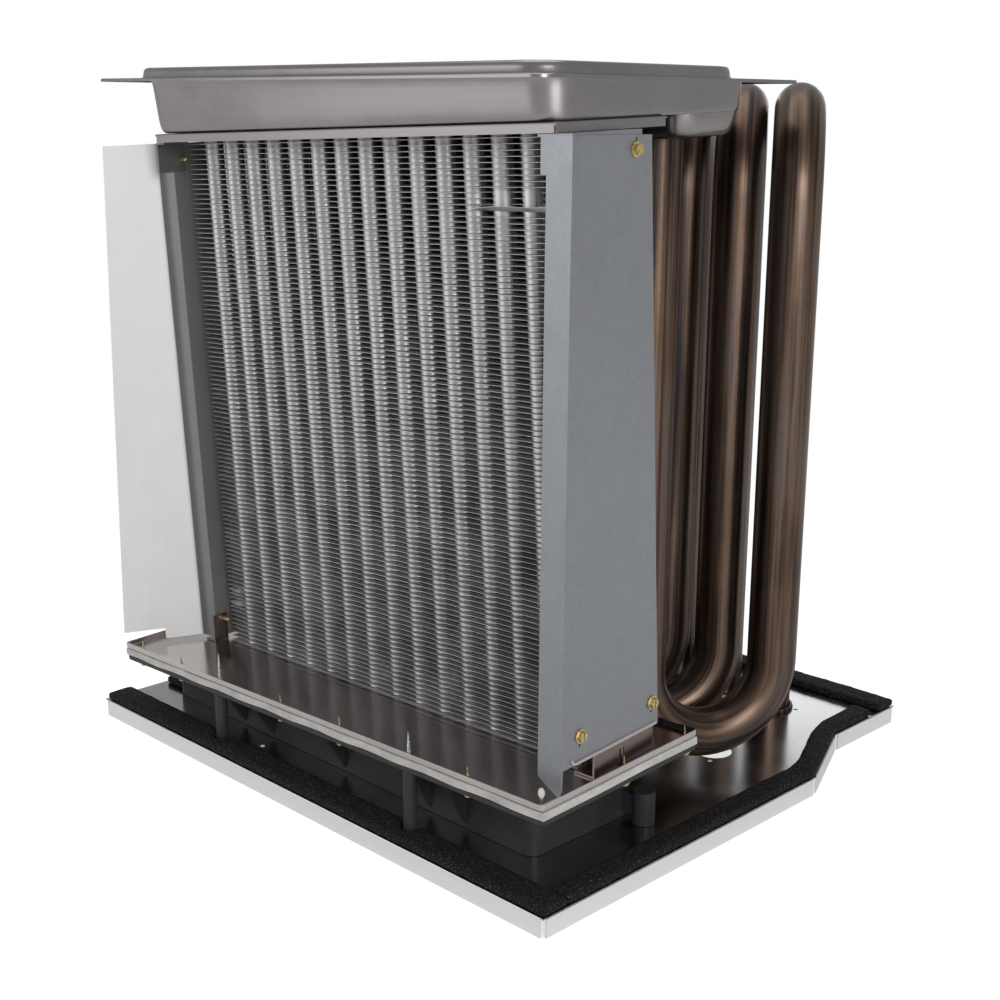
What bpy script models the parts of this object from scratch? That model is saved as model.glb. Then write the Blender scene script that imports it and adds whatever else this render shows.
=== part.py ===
# Condensing furnace heat exchanger, standing on its front (vestibule) panel.
# Units are metres; sizes below are written in millimetres and multiplied by MM.
# The origin of the whole object is the centre of its footprint, on the floor.
#
# Two frames are used. "panel" has its origin at the near right corner of the
# panel's upper face: X runs to the right, Y to the back, Z up. "coil" is the
# frame of the secondary coil, which leans two degrees each way so that its
# condensate drains; its Z = 0 is the upper edge of the lower tube sheet's rim.

import bpy
import bmesh
import math
from mathutils import Matrix, Vector

MM = 0.001

# Clearance kept between pieces that touch in the real exchanger
GAP = 0.3 * MM

# Coil frame: place and lean
COIL_X = -15.2 * MM
COIL_Y = 13.1 * MM
COIL_Z = 70.8 * MM
COIL_LEAN_X = math.radians(2.06)
COIL_LEAN_Y = math.radians(-1.95)

# Lower tube sheet, in the coil frame
SHEET_WIDTH = 504.0 * MM
SHEET_DEPTH = 164.0 * MM
SHEET_THICK = 1.4 * MM
SHEET_RIM = 4.0 * MM

# Upper header plate, in the coil frame
HEADER_LEFT = -SHEET_WIDTH + 60.0 * MM
HEADER_RIGHT = -6.4 * MM
HEADER_FRONT = 41.3 * MM
HEADER_BACK = SHEET_DEPTH - 16.4 * MM
HEADER_TOP = 431.8 * MM
HEADER_RIM = 6.5 * MM
HEADER_SHEET = 1.2 * MM

# Fins, in the coil frame: they stand on the tray and end under the header
FIN_LEFT = HEADER_LEFT + HEADER_SHEET + 0.5 * MM
FIN_RIGHT = -30.0 * MM
FIN_FRONT = 71.0 * MM
FIN_DEPTH = 47.0 * MM
FIN_BOTTOM = -SHEET_RIM + GAP
FIN_TOP = HEADER_TOP - HEADER_SHEET - GAP
FIN_PITCH = 4.0 * MM
FIN_THICK = 1.3 * MM
FIN_REACH = 9.0 * MM

# Primary serpentine tubes; each leg stands behind the one before it
TUBE_PITCH = 52.3 * MM
TUBE_RADIUS = 19.05 * MM
TUBE_WALL = 1.2 * MM
TUBE_BORE_DEPTH = 40.0 * MM
LEG_A = (-92.3 * MM, COIL_Y + SHEET_DEPTH + 26.9 * MM)
LEG_B = (-40.0 * MM, LEG_A[1] + 98.0 * MM)
LEG_C = (-115.6 * MM, LEG_B[1] + 108.6 * MM)
LOWER_BEND_Z = 92.6 * MM
UPPER_BEND_Z = 446.3 * MM
COLLAR_RADIUS = 22.4 * MM
COLLAR_HEIGHT = 3.6 * MM

# Vestibule panel: it reaches past the tray at the left and past the last
# legs at the back
PANEL_LEFT_MARGIN = 15.8 * MM
PANEL_BACK_MARGIN = 80.4 * MM
PANEL_WIDTH = SHEET_WIDTH - COIL_X + PANEL_LEFT_MARGIN
PANEL_DEPTH = LEG_C[1] + PANEL_BACK_MARGIN
PANEL_SHEET = 1.2 * MM
PANEL_FLANGE = 15.0 * MM
PANEL_JOG_X = 36.4 * MM
PANEL_JOG_START = PANEL_DEPTH - 177.0 * MM
PANEL_JOG_END = PANEL_DEPTH - 92.0 * MM
PANEL_BEND = 1.0 * MM
TUBE_MARGIN = 85.0 * MM
TUBES = int((PANEL_WIDTH + LEG_C[0] - TUBE_MARGIN) / TUBE_PITCH) + 1

# Foam gaskets on the panel
FOAM = 6.5 * MM
FOAM_FRONT = 25.0 * MM
FOAM_BACK = 24.0 * MM
FOAM_END = PANEL_DEPTH - 36.0 * MM

# Coupling pan and its cover
PAN_SHEET = 1.5 * MM
PAN_LEFT = COIL_X - SHEET_WIDTH + 47.2 * MM
PAN_RIGHT = -40.0 * MM
PAN_FRONT = 41.5 * MM
PAN_BACK = LEG_A[1] + 32.0 * MM
PAN_FLARE_LEFT = 14.0 * MM
PAN_FLARE_FRONT = 8.0 * MM
PAN_FLARE_RIGHT = 2.0 * MM
BOOT_FRONT = LEG_A[1] - 36.0 * MM
BOOT_DROP = 16.0 * MM
BOOT_RISE = 6.0 * MM
COVER_FLANGE_TOP = 531.5 * MM
COVER_HEM = 2.4 * MM
COVER_LID_TOP = 539.5 * MM
COVER_SHEET = 1.5 * MM

# Collector box under the lower tube sheet
BOX_LEFT = COIL_X - SHEET_WIDTH + 16.2 * MM
BOX_RIGHT = -62.0 * MM
BOX_FRONT = 54.0 * MM
BOX_BACK = COIL_Y + SHEET_DEPTH - 12.1 * MM
BOX_WALL = 3.0 * MM
BOX_FLANGE = 3.2 * MM
BOX_OUTLET_RADIUS = 34.0 * MM
BOX_OUTLET = (-150.0 * MM, 108.0 * MM)
POST_RADIUS = 5.2 * MM
POSTS = ((COIL_X - SHEET_WIDTH + 135.7 * MM, 18.6 * MM), (-151.0 * MM, 19.0 * MM))
STRIP_GASKET = 5.6 * MM

# Baffles; the right one's plate turns inwards behind its front flange, and
# its lower edge stays clear of the tray
BAFFLE_SHEET = 1.0 * MM
RIGHT_FOLD = (-17.7 * MM, 33.8 * MM)
RIGHT_TURN = math.radians(3.1)
RIGHT_DEPTH = SHEET_DEPTH - 57.0 * MM
RIGHT_FLANGE_LEFT = -39.0 * MM
RIGHT_TOP = 495.8 * MM
RIGHT_FOOT = 15.5 * MM
LEFT_BEND = (-SHEET_WIDTH + 35.5 * MM, 57.5 * MM)
LEFT_RETURN = (FIN_LEFT - 8.0 * MM, 60.0 * MM)
LEFT_TOP = 424.0 * MM
LEFT_FOOT = -0.3 * MM

# Brackets
BRACKET_SHEET = 1.5 * MM
BRACKET_DROP = 24.0 * MM

# Fasteners
SCREW_SHANK = 2.1 * MM
SCREW_HEX = 3.9 * MM
SCREW_WASHER = 5.2 * MM
SCREW_MARGIN = 6.0 * MM
FLANGE_SCREWS = (
    (-SHEET_WIDTH + 18.0 * MM, SCREW_MARGIN), (-SHEET_WIDTH + 77.0 * MM, SCREW_MARGIN),
    (-289.0 * MM, SCREW_MARGIN), (-216.0 * MM, SCREW_MARGIN), (-76.8 * MM, SCREW_MARGIN),
    (-SCREW_MARGIN, SHEET_DEPTH * 0.54), (-SCREW_MARGIN, SHEET_DEPTH - 8.0 * MM))
POST_SCREWS = ((-SHEET_WIDTH + 134.8 * MM, SCREW_MARGIN), (-136.6 * MM, SCREW_MARGIN))
CORNER_SCREW = (-SCREW_MARGIN, SCREW_MARGIN)
KEYHOLE = 7.5 * MM


def clear_scene():
    for obj in list(bpy.data.objects):
        bpy.data.objects.remove(obj, do_unlink=True)


def make_collection(name):
    collection = bpy.data.collections.new(name)
    bpy.context.scene.collection.children.link(collection)
    return collection


clear_scene()
PARTS = make_collection("heat_exchanger")
SCRATCH = make_collection("shaping")

COIL_MATRIX = (
    Matrix.Translation((COIL_X, COIL_Y, COIL_Z))
    @ Matrix.Rotation(COIL_LEAN_Y, 4, 'Y')
    @ Matrix.Rotation(COIL_LEAN_X, 4, 'X')
)


def make_empty(name, location, parent=None, rotation=(0.0, 0.0, 0.0)):
    empty = bpy.data.objects.new(name, None)
    empty.location = location
    empty.rotation_euler = rotation
    empty.parent = parent
    PARTS.objects.link(empty)
    return empty


ROOT = make_empty("exchanger_frame", (PANEL_WIDTH / 2, -PANEL_DEPTH / 2, PANEL_FLANGE))
COIL = make_empty("coil_frame", (COIL_X, COIL_Y, COIL_Z), ROOT, (COIL_LEAN_X, COIL_LEAN_Y, 0.0))


def coil_plane_height(x, y, z_local):
    # Height, in the panel frame, of the coil's plane z = z_local above (x, y)
    normal = COIL_MATRIX.to_3x3() @ Vector((0.0, 0.0, 1.0))
    point = COIL_MATRIX @ Vector((0.0, 0.0, z_local))
    return point.z - (normal.x * (x - point.x) + normal.y * (y - point.y)) / normal.z


MATERIALS = {}


def material(name, color, metallic, roughness):
    if name in MATERIALS:
        return MATERIALS[name]
    mat = bpy.data.materials.new(name)
    mat.use_nodes = True
    shader = mat.node_tree.nodes["Principled BSDF"]
    shader.inputs["Base Color"].default_value = (color[0], color[1], color[2], 1.0)
    shader.inputs["Metallic"].default_value = metallic
    shader.inputs["Roughness"].default_value = roughness
    MATERIALS[name] = mat
    return mat


GALVANISED = ("galvanised", (0.62, 0.64, 0.66), 0.9, 0.38)
STAINLESS = ("stainless", (0.70, 0.70, 0.69), 1.0, 0.18)
FIN_METAL = ("fin_metal", (0.42, 0.43, 0.44), 0.9, 0.35)
TINTED = ("tinted_steel", (0.36, 0.27, 0.22), 0.9, 0.3)
FOAM_BLACK = ("black_foam", (0.03, 0.03, 0.03), 0.0, 0.95)
PLASTIC = ("black_plastic", (0.02, 0.02, 0.02), 0.0, 0.45)
WHITE_STRIP = ("white_strip", (0.8, 0.79, 0.75), 0.0, 0.8)
BRASS = ("brass_screw", (0.65, 0.47, 0.2), 1.0, 0.3)
ZINC = ("zinc_screw", (0.66, 0.67, 0.68), 1.0, 0.3)


# Solid shapes

def mesh_of(obj):
    # Mesh of an object as its modifiers and curve settings leave it, in the
    # frame of the scene; the object is used up
    bpy.context.view_layer.update()
    depsgraph = bpy.context.evaluated_depsgraph_get()
    mesh = bpy.data.meshes.new_from_object(obj.evaluated_get(depsgraph))
    bm = bmesh.new()
    bm.from_mesh(mesh)
    bmesh.ops.transform(bm, matrix=obj.matrix_world, verts=bm.verts[:])
    bpy.data.objects.remove(obj, do_unlink=True)
    bpy.data.meshes.remove(mesh)
    tidy(bm)
    return bm


def tidy(bm):
    bmesh.ops.remove_doubles(bm, verts=bm.verts[:], dist=0.000002)
    bmesh.ops.dissolve_degenerate(bm, edges=bm.edges[:], dist=0.000002)
    bmesh.ops.recalc_face_normals(bm, faces=bm.faces[:])


def scratch_object(data):
    # Construction object, never shown or rendered
    if isinstance(data, bmesh.types.BMesh):
        tidy(data)
        mesh = bpy.data.meshes.new("shape")
        data.to_mesh(mesh)
        data.free()
        data = mesh
    obj = bpy.data.objects.new("shape", data)
    obj.hide_render = True
    obj.display_type = 'WIRE'
    SCRATCH.objects.link(obj)
    return obj


def prism(points, low, high):
    # Flat outline with a thickness; low and high are heights or functions of
    # (x, y), which give a slanted end
    curve = bpy.data.curves.new("outline", 'CURVE')
    curve.dimensions = '2D'
    curve.fill_mode = 'BOTH'
    curve.extrude = 0.01
    spline = curve.splines.new('POLY')
    spline.points.add(len(points) - 1)
    for point, (x, y) in zip(spline.points, points):
        point.co = (x, y, 0.0, 1.0)
    spline.use_cyclic_u = True
    bm = mesh_of(scratch_object(curve))
    bpy.data.curves.remove(curve)
    for vert in bm.verts:
        end = high if vert.co.z > 0.0 else low
        vert.co.z = end(vert.co.x, vert.co.y) if callable(end) else end
    bmesh.ops.dissolve_limit(bm, angle_limit=0.002, verts=bm.verts[:], edges=bm.edges[:])
    tidy(bm)
    return bm


def box(x0, x1, y0, y1, z0, z1):
    bm = bmesh.new()
    size = Matrix.Diagonal((x1 - x0, y1 - y0, z1 - z0, 1.0))
    centre = Matrix.Translation(((x0 + x1) / 2, (y0 + y1) / 2, (z0 + z1) / 2))
    bmesh.ops.create_cube(bm, size=1.0, matrix=centre @ size)
    return bm


def rounded_rectangle(x0, x1, y0, y1, radius, steps=5):
    points = []
    centres = ((x1 - radius, y0 + radius, -90), (x1 - radius, y1 - radius, 0),
               (x0 + radius, y1 - radius, 90), (x0 + radius, y0 + radius, 180))
    for cx, cy, start in centres:
        for k in range(steps + 1):
            angle = math.radians(start + 90.0 * k / steps)
            points.append((cx + radius * math.cos(angle), cy + radius * math.sin(angle)))
    return points


def loft_skin(loops, close_bottom=True, close_top=True):
    # Skin through loops of equal length, the first at the bottom
    bm = bmesh.new()
    rings = [[bm.verts.new(p) for p in loop] for loop in loops]
    for ring_verts in rings:
        for i in range(len(ring_verts)):
            bm.edges.new((ring_verts[i - 1], ring_verts[i]))
    for lower, upper in zip(rings, rings[1:]):
        edges = [e for e in bm.edges if all(v in lower for v in e.verts)
                 or all(v in upper for v in e.verts)]
        bmesh.ops.bridge_loops(bm, edges=edges)
    if close_bottom:
        bm.faces.new(rings[0])
    if close_top:
        bm.faces.new(rings[-1])
    bmesh.ops.recalc_face_normals(bm, faces=bm.faces[:])
    return bm


def solidify(bm, thick, offset):
    # Sheet metal: an open skin given its thickness, inwards or outwards
    obj = scratch_object_open(bm)
    modifier = obj.modifiers.new("sheet", 'SOLIDIFY')
    modifier.thickness = thick
    modifier.offset = offset
    modifier.use_even_offset = True
    modifier.use_rim = True
    return mesh_of(obj)


def scratch_object_open(bm):
    mesh = bpy.data.meshes.new("skin")
    bm.to_mesh(mesh)
    bm.free()
    return scratch_object(mesh)


def turned(profile, sides, centre=(0.0, 0.0, 0.0), axis=(0.0, 0.0, 1.0)):
    # Turned solid from a profile of (radius, height), bottom to top; an end
    # off the axis is closed with a flat face
    points = list(profile)
    if points[0][0] > 0.0 and points[0] != points[-1]:
        points.insert(0, (0.0, points[0][1]))
        points.append((0.0, points[-1][1]))
    bm = bmesh.new()
    verts = [bm.verts.new((radius, 0.0, height)) for radius, height in reversed(points)]
    for upper, lower in zip(verts, verts[1:]):
        bm.edges.new((upper, lower))
    obj = scratch_object_open(bm)
    modifier = obj.modifiers.new("turn", 'SCREW')
    modifier.axis = 'Z'
    modifier.steps = sides
    modifier.render_steps = sides
    modifier.use_merge_vertices = True
    modifier.merge_threshold = 0.00001
    bm = mesh_of(obj)
    bmesh.ops.dissolve_limit(bm, angle_limit=0.002, verts=bm.verts[:], edges=bm.edges[:])
    place(bm, centre, axis)
    return bm


def place(bm, centre, axis):
    turn = Vector((0.0, 0.0, 1.0)).rotation_difference(Vector(axis).normalized())
    matrix = Matrix.Translation(centre) @ turn.to_matrix().to_4x4()
    bmesh.ops.transform(bm, matrix=matrix, verts=bm.verts[:])


def cylinder(radius, z0, z1, sides, x=0.0, y=0.0):
    bm = bmesh.new()
    bmesh.ops.create_cone(bm, cap_ends=True, segments=sides, radius1=radius, radius2=radius,
                          depth=z1 - z0, matrix=Matrix.Translation((x, y, (z0 + z1) / 2)))
    return bm


def hole(radius, z0, z1, sides, x=0.0, y=0.0):
    # Faceted hole whose flats clear a bar of that radius by the usual gap
    return cylinder((radius + GAP) / math.cos(math.pi / sides), z0, z1, sides, x, y)


def ring(inner, outer, z0, z1, sides, x=0.0, y=0.0, edge=0.0):
    # Turned ring, with its upper outer edge chamfered by "edge"
    profile = [(inner, z0), (outer, z0), (outer, z1 - edge), (outer - edge, z1), (inner, z1),
               (inner, z0)]
    if edge == 0.0:
        del profile[3]
    return turned(profile, sides, (x, y, 0.0))


def tube_along(points, radius, resolution):
    # Round bar along a route, as a curve with a round bevel and filled ends
    curve = bpy.data.curves.new("route", 'CURVE')
    curve.dimensions = '3D'
    curve.bevel_depth = radius
    curve.bevel_resolution = resolution
    curve.use_fill_caps = True
    spline = curve.splines.new('POLY')
    spline.points.add(len(points) - 1)
    for point, co in zip(spline.points, points):
        point.co = (co.x, co.y, co.z, 1.0)
    bm = mesh_of(scratch_object(curve))
    bpy.data.curves.remove(curve)
    return bm


def combine(first, second, operation):
    # Boolean of two solids, which are used up
    target = scratch_object(first)
    tool = scratch_object(second)
    modifier = target.modifiers.new("cut", 'BOOLEAN')
    modifier.operation = operation
    modifier.solver = 'EXACT'
    modifier.object = tool
    bm = mesh_of(target)
    bpy.data.objects.remove(tool, do_unlink=True)
    return bm


def join(first, *others):
    for other in others:
        first = combine(first, other, 'UNION')
    return first


def cut(first, *others):
    for other in others:
        first = combine(first, other, 'DIFFERENCE')
    return first


def half_space(point, normal):
    # Large block whose lower face lies on a plane, to cut off what is beyond it
    bm = box(-0.6, 0.6, -0.6, 0.6, 0.0, 0.6)
    place(bm, point, normal)
    return bm


ALONG_X = Matrix(((0, 0, 1, 0), (1, 0, 0, 0), (0, 1, 0, 0), (0, 0, 0, 1)))
ALONG_Y = Matrix(((1, 0, 0, 0), (0, 0, -1, 0), (0, 1, 0, 0), (0, 0, 0, 1)))


def prism_along_x(points, x0, x1):
    # Prism over an outline in (y, z)
    bm = prism(points, x0, x1)
    bmesh.ops.transform(bm, matrix=ALONG_X, verts=bm.verts[:])
    return bm


def prism_along_y(points, y0, y1):
    # Prism over an outline in (x, z)
    bm = prism(points, -y1, -y0)
    bmesh.ops.transform(bm, matrix=ALONG_Y, verts=bm.verts[:])
    return bm


def soften(bm, test, offset, segments):
    # Rounds the edges for which test(middle, edge) holds
    edges = [e for e in bm.edges if len(e.link_faces) == 2 and e.calc_face_angle(0.0) > 0.3
             and test((e.verts[0].co + e.verts[1].co) / 2, e)]
    bmesh.ops.bevel(bm, geom=edges, offset=offset, segments=segments, profile=0.5,
                    affect='EDGES', clamp_overlap=True)
    return bm


def finish(name, bm, look, parent):
    # The piece's own origin is the middle of its box
    tidy(bm)
    low = Vector([min(v.co[i] for v in bm.verts) for i in range(3)])
    high = Vector([max(v.co[i] for v in bm.verts) for i in range(3)])
    middle = (low + high) / 2
    bmesh.ops.translate(bm, verts=bm.verts[:], vec=-middle)
    mesh = bpy.data.meshes.new(name)
    bm.to_mesh(mesh)
    bm.free()
    mesh.shade_smooth()
    mesh.set_sharp_from_angle(angle=math.radians(32.0))
    obj = bpy.data.objects.new(name, mesh)
    color_name, color, metallic, roughness = look
    mesh.materials.append(material(color_name, color, metallic, roughness))
    obj.location = middle
    obj.parent = parent
    PARTS.objects.link(obj)
    return obj


# Folded sheet: a strip of sheet metal bent along upright lines

def folded_sheet(path, thick, low, high):
    # The path is the outer face, seen from above; the sheet lies to its left
    count = len(path)
    inner = []
    for i in range(count):
        sides = []
        if i > 0:
            sides.append((Vector(path[i]) - Vector(path[i - 1])).normalized())
        if i < count - 1:
            sides.append((Vector(path[i + 1]) - Vector(path[i])).normalized())
        normals = [Vector((-d.y, d.x)) for d in sides]
        bisector = sum(normals, Vector((0.0, 0.0))).normalized()
        reach = thick / bisector.dot(normals[0])
        inner.append((path[i][0] + bisector.x * reach, path[i][1] + bisector.y * reach))
    outline = list(path) + list(reversed(inner))
    return prism(outline, low, high)


# Vestibule panel: folded plate with an angled jog at the right back

def build_panel():
    x_left = -PANEL_WIDTH
    slot = 3.0 * MM
    corners = [(x_left, 0.0), (0.0, 0.0), (0.0, PANEL_JOG_START),
               (-PANEL_JOG_X, PANEL_JOG_END), (-PANEL_JOG_X, PANEL_DEPTH), (x_left, PANEL_DEPTH)]
    # Open skin: the plate and, along each edge, a flange that stops short of
    # the corners, so that an open slot stays there
    skin = bmesh.new()
    outline = []
    bends = []
    for i in range(len(corners)):
        start = Vector(corners[i])
        end = Vector(corners[(i + 1) % len(corners)])
        along = (end - start).normalized() * slot
        first = skin.verts.new((start.x + along.x, start.y + along.y, 0.0))
        last = skin.verts.new((end.x - along.x, end.y - along.y, 0.0))
        outline += [skin.verts.new((start.x, start.y, 0.0)), first, last]
        bends.append((first, last))
    skin.faces.new(outline)
    edges = [skin.edges.get(pair) for pair in bends]
    hung = bmesh.ops.extrude_edge_only(skin, edges=edges)
    lower = [item for item in hung["geom"] if isinstance(item, bmesh.types.BMVert)]
    bmesh.ops.translate(skin, verts=lower, vec=(0.0, 0.0, -PANEL_FLANGE))
    bmesh.ops.bevel(skin, geom=edges, offset=PANEL_BEND, segments=2, profile=0.5,
                    affect='EDGES', clamp_overlap=True)
    bmesh.ops.recalc_face_normals(skin, faces=skin.faces[:])
    if max(skin.faces, key=lambda f: f.calc_area()).normal.z < 0.0:
        bmesh.ops.reverse_faces(skin, faces=skin.faces[:])
    plate = solidify(skin, PANEL_SHEET, -1.0)
    for number in range(TUBES):
        plate = cut(plate, hole(TUBE_RADIUS, -3 * MM, 3 * MM, 16,
                                LEG_C[0] - number * TUBE_PITCH, LEG_C[1]))
    for x, y, radius, sides in ((-88.6 * MM, LEG_B[1] - 5 * MM, 15.5 * MM, 20),
                                (-78.0 * MM, LEG_B[1] - 23 * MM, 2.2 * MM, 8),
                                (-92.0 * MM, LEG_C[1] + 9.4 * MM, 2.2 * MM, 8),
                                (-354.0 * MM, 37.5 * MM, 2.4 * MM, 8)):
        plate = cut(plate, cylinder(radius, -3 * MM, 3 * MM, sides, x, y))
    plate = cut(plate, cylinder(BOX_OUTLET_RADIUS, -3 * MM, 3 * MM, 20, *BOX_OUTLET))
    finish("vestibule_panel", plate, GALVANISED, ROOT)


# Foam strips

def build_foam():
    low = GAP
    high = GAP + FOAM
    front = prism([(-PANEL_WIDTH + 3 * MM, 0.5 * MM), (-0.5 * MM, 0.5 * MM),
                   (-0.5 * MM, FOAM_FRONT), (-PANEL_WIDTH + 3 * MM, FOAM_FRONT)], low, high)
    for x, y in POSTS:
        front = cut(front, cylinder(POST_RADIUS + 2 * MM, -1 * MM, 9 * MM, 16, x, y))
    finish("gasket_front", front, FOAM_BLACK, ROOT)
    start = FOAM_FRONT + GAP
    edge = -PANEL_JOG_X - 0.8 * MM
    right = [(-19.3 * MM, start), (-0.6 * MM, start), (-0.6 * MM, PANEL_JOG_START),
             (-3.0 * MM, PANEL_JOG_START + 5 * MM), (edge, PANEL_JOG_END + 0.5 * MM),
             (edge, FOAM_END), (edge - 18.8 * MM, FOAM_END),
             (edge - 16.8 * MM, PANEL_JOG_END + 2 * MM), (edge - 9.8 * MM, PANEL_JOG_END - 23 * MM),
             (-22.0 * MM, PANEL_JOG_START + 6 * MM), (-19.3 * MM, PANEL_JOG_START - 9 * MM)]
    finish("gasket_right", prism(right, low, high), FOAM_BLACK, ROOT)
    back = [(-PANEL_WIDTH + 5 * MM, PANEL_DEPTH - FOAM_BACK), (edge, PANEL_DEPTH - FOAM_BACK),
            (edge, PANEL_DEPTH - 1 * MM), (-PANEL_WIDTH + 5 * MM, PANEL_DEPTH - 4 * MM)]
    finish("gasket_back", prism(back, low, high), FOAM_BLACK, ROOT)
    left = [(-PANEL_WIDTH + 5 * MM, 60 * MM), (-PANEL_WIDTH + 29 * MM, 60 * MM),
            (-PANEL_WIDTH + 29 * MM, FOAM_END), (-PANEL_WIDTH + 5 * MM, FOAM_END)]
    finish("gasket_left", prism(left, low, high), FOAM_BLACK, ROOT)


# Collector box: moulded tub with a wide flange and two screw posts

def build_collector():
    flange_top = -(SHEET_RIM + SHEET_THICK) - GAP - STRIP_GASKET - GAP
    flange_low = flange_top - BOX_FLANGE

    def top(x, y):
        return coil_plane_height(x, y, (flange_top + flange_low) / 2)

    def flange_lower_face(x, y):
        return coil_plane_height(x, y, flange_low)

    tub = prism(rounded_rectangle(BOX_LEFT, BOX_RIGHT, BOX_FRONT, BOX_BACK, 10 * MM, 4), GAP, top)
    flange = prism(rounded_rectangle(-SHEET_WIDTH, 0.0, 0.0, SHEET_DEPTH, 5 * MM, 3),
                   flange_low, flange_top)
    bmesh.ops.transform(flange, matrix=COIL_MATRIX, verts=flange.verts[:])
    tub = join(tub, flange)
    for x, y in POSTS:
        post = cylinder(POST_RADIUS, GAP, 0.05, 16, x, y)
        for vert in post.verts:
            if vert.co.z > 0.02:
                vert.co.z = top(vert.co.x, vert.co.y)
        tub = join(tub, post)
    # Upright gussets between the flange and the front wall
    middle = (POSTS[0][0] + POSTS[1][0]) / 2
    gussets = [post[0] + step * MM for post in POSTS for step in (-17.0, 22.0)] + [middle]
    for x in gussets:
        gusset = prism([(x - 1.2 * MM, 30 * MM), (x + 1.2 * MM, 30 * MM),
                        (x + 1.2 * MM, BOX_FRONT + 2 * MM), (x - 1.2 * MM, BOX_FRONT + 2 * MM)],
                       GAP, top)
        for vert in gusset.verts:
            if vert.co.y < 0.04 and vert.co.z < 0.01:
                vert.co.z = flange_lower_face(vert.co.x, vert.co.y) - 5 * MM
        tub = join(tub, gusset)
    # Drain stub beside the right wall
    drain_x = BOX_RIGHT + 17 * MM
    drain_y = BOX_BACK - 10 * MM
    drain = cylinder(8.5 * MM, GAP, 26 * MM, 16, drain_x, drain_y)
    neck = box(BOX_RIGHT - 1 * MM, drain_x - 1 * MM, drain_y - 6 * MM, drain_y + 6 * MM,
               6 * MM, 22 * MM)
    tub = join(tub, drain, neck)
    hollow = prism(rounded_rectangle(BOX_LEFT + BOX_WALL, BOX_RIGHT - BOX_WALL,
                                     BOX_FRONT + BOX_WALL, BOX_BACK - BOX_WALL, 7 * MM, 4),
                   BOX_WALL + GAP, 90 * MM)
    tub = cut(tub, hollow)
    tub = cut(tub, cylinder(BOX_OUTLET_RADIUS, -1 * MM, 6 * MM, 20, *BOX_OUTLET))
    tub = cut(tub, cylinder(5.5 * MM, -1 * MM, 20 * MM, 12, drain_x, drain_y))
    # Holes for the screws that come through the tube sheet
    for x, y in FLANGE_SCREWS + POST_SCREWS:
        bore = cylinder(SCREW_SHANK + GAP, flange_low - 8 * MM, 3 * MM, 8, x, y)
        bmesh.ops.transform(bore, matrix=COIL_MATRIX, verts=bore.verts[:])
        tub = cut(tub, bore)
    finish("collector_box", tub, PLASTIC, ROOT)

    # White sealing strip between the tub and the tube sheet, squeezed out a little
    strip_top = -(SHEET_RIM + SHEET_THICK) - GAP
    outer = []
    count = 30
    for i in range(count):
        t = i / count
        x = -SHEET_WIDTH + SHEET_WIDTH * t
        outer.append((x, 0.4 * MM + 0.7 * MM * math.sin(i * 1.7)))
    outer += [(0.3 * MM, 0.6 * MM), (0.6 * MM, SHEET_DEPTH * 0.33), (-0.4 * MM, SHEET_DEPTH * 0.66),
              (0.3 * MM, SHEET_DEPTH - 1 * MM), (-SHEET_WIDTH + 1 * MM, SHEET_DEPTH - 1 * MM)]
    strip = prism(outer, strip_top - STRIP_GASKET, strip_top)
    inner = box(-SHEET_WIDTH + 12 * MM, -12 * MM, 12 * MM, SHEET_DEPTH - 12 * MM, -30 * MM, 10 * MM)
    strip = cut(strip, inner)
    for x, y in FLANGE_SCREWS + POST_SCREWS:
        strip = cut(strip, cylinder(SCREW_SHANK + GAP, -30 * MM, 3 * MM, 8, x, y))
    finish("collector_gasket", strip, WHITE_STRIP, COIL)


# Lower tube sheet: shallow stainless tray with an upturned rim

def build_tube_sheet():
    floor = -(SHEET_RIM + SHEET_THICK)

    def loop(inset, radius, z):
        return [(x, y, z) for x, y in rounded_rectangle(-SHEET_WIDTH + inset, -inset, inset,
                                                        SHEET_DEPTH - inset, radius, 3)]

    skin = loft_skin([loop(1.2 * MM, 2.2 * MM, floor), loop(0.0, 3 * MM, floor + 1.2 * MM),
                      loop(0.0, 3 * MM, 0.0)], close_top=False)
    sheet = solidify(skin, SHEET_THICK, -1.0)
    for x, y in FLANGE_SCREWS + POST_SCREWS:
        sheet = cut(sheet, cylinder(SCREW_SHANK + GAP, -9 * MM, 3 * MM, 8, x, y))
    finish("lower_tube_sheet", sheet, STAINLESS, COIL)


# Fin pack: comb of fins, front and back, on a core that stands for the tubes

def build_fins():
    front = FIN_FRONT
    back = FIN_FRONT + FIN_DEPTH
    core_front = front + FIN_REACH
    core_back = back - FIN_REACH
    fins = int(round((FIN_TOP - FIN_BOTTOM - FIN_THICK) / FIN_PITCH)) + 1
    pitch = (FIN_TOP - FIN_BOTTOM - FIN_THICK) / (fins - 1)

    def comb(edge, core):
        # Edge of the fins at "edge", with the gaps between them as deep as "core"
        points = []
        for i in range(fins):
            z = FIN_BOTTOM + i * pitch
            if i > 0:
                points.append((core, z))
            points += [(edge, z), (edge, z + FIN_THICK)]
            if i < fins - 1:
                points.append((core, z + FIN_THICK))
        return points

    outline = comb(front, core_front) + list(reversed(comb(back, core_back)))
    finish("fin_pack", prism_along_x(outline, FIN_LEFT, FIN_RIGHT), FIN_METAL, COIL)


# Upper header plate: flat lid with a down-turned rim, open at the corners

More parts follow.
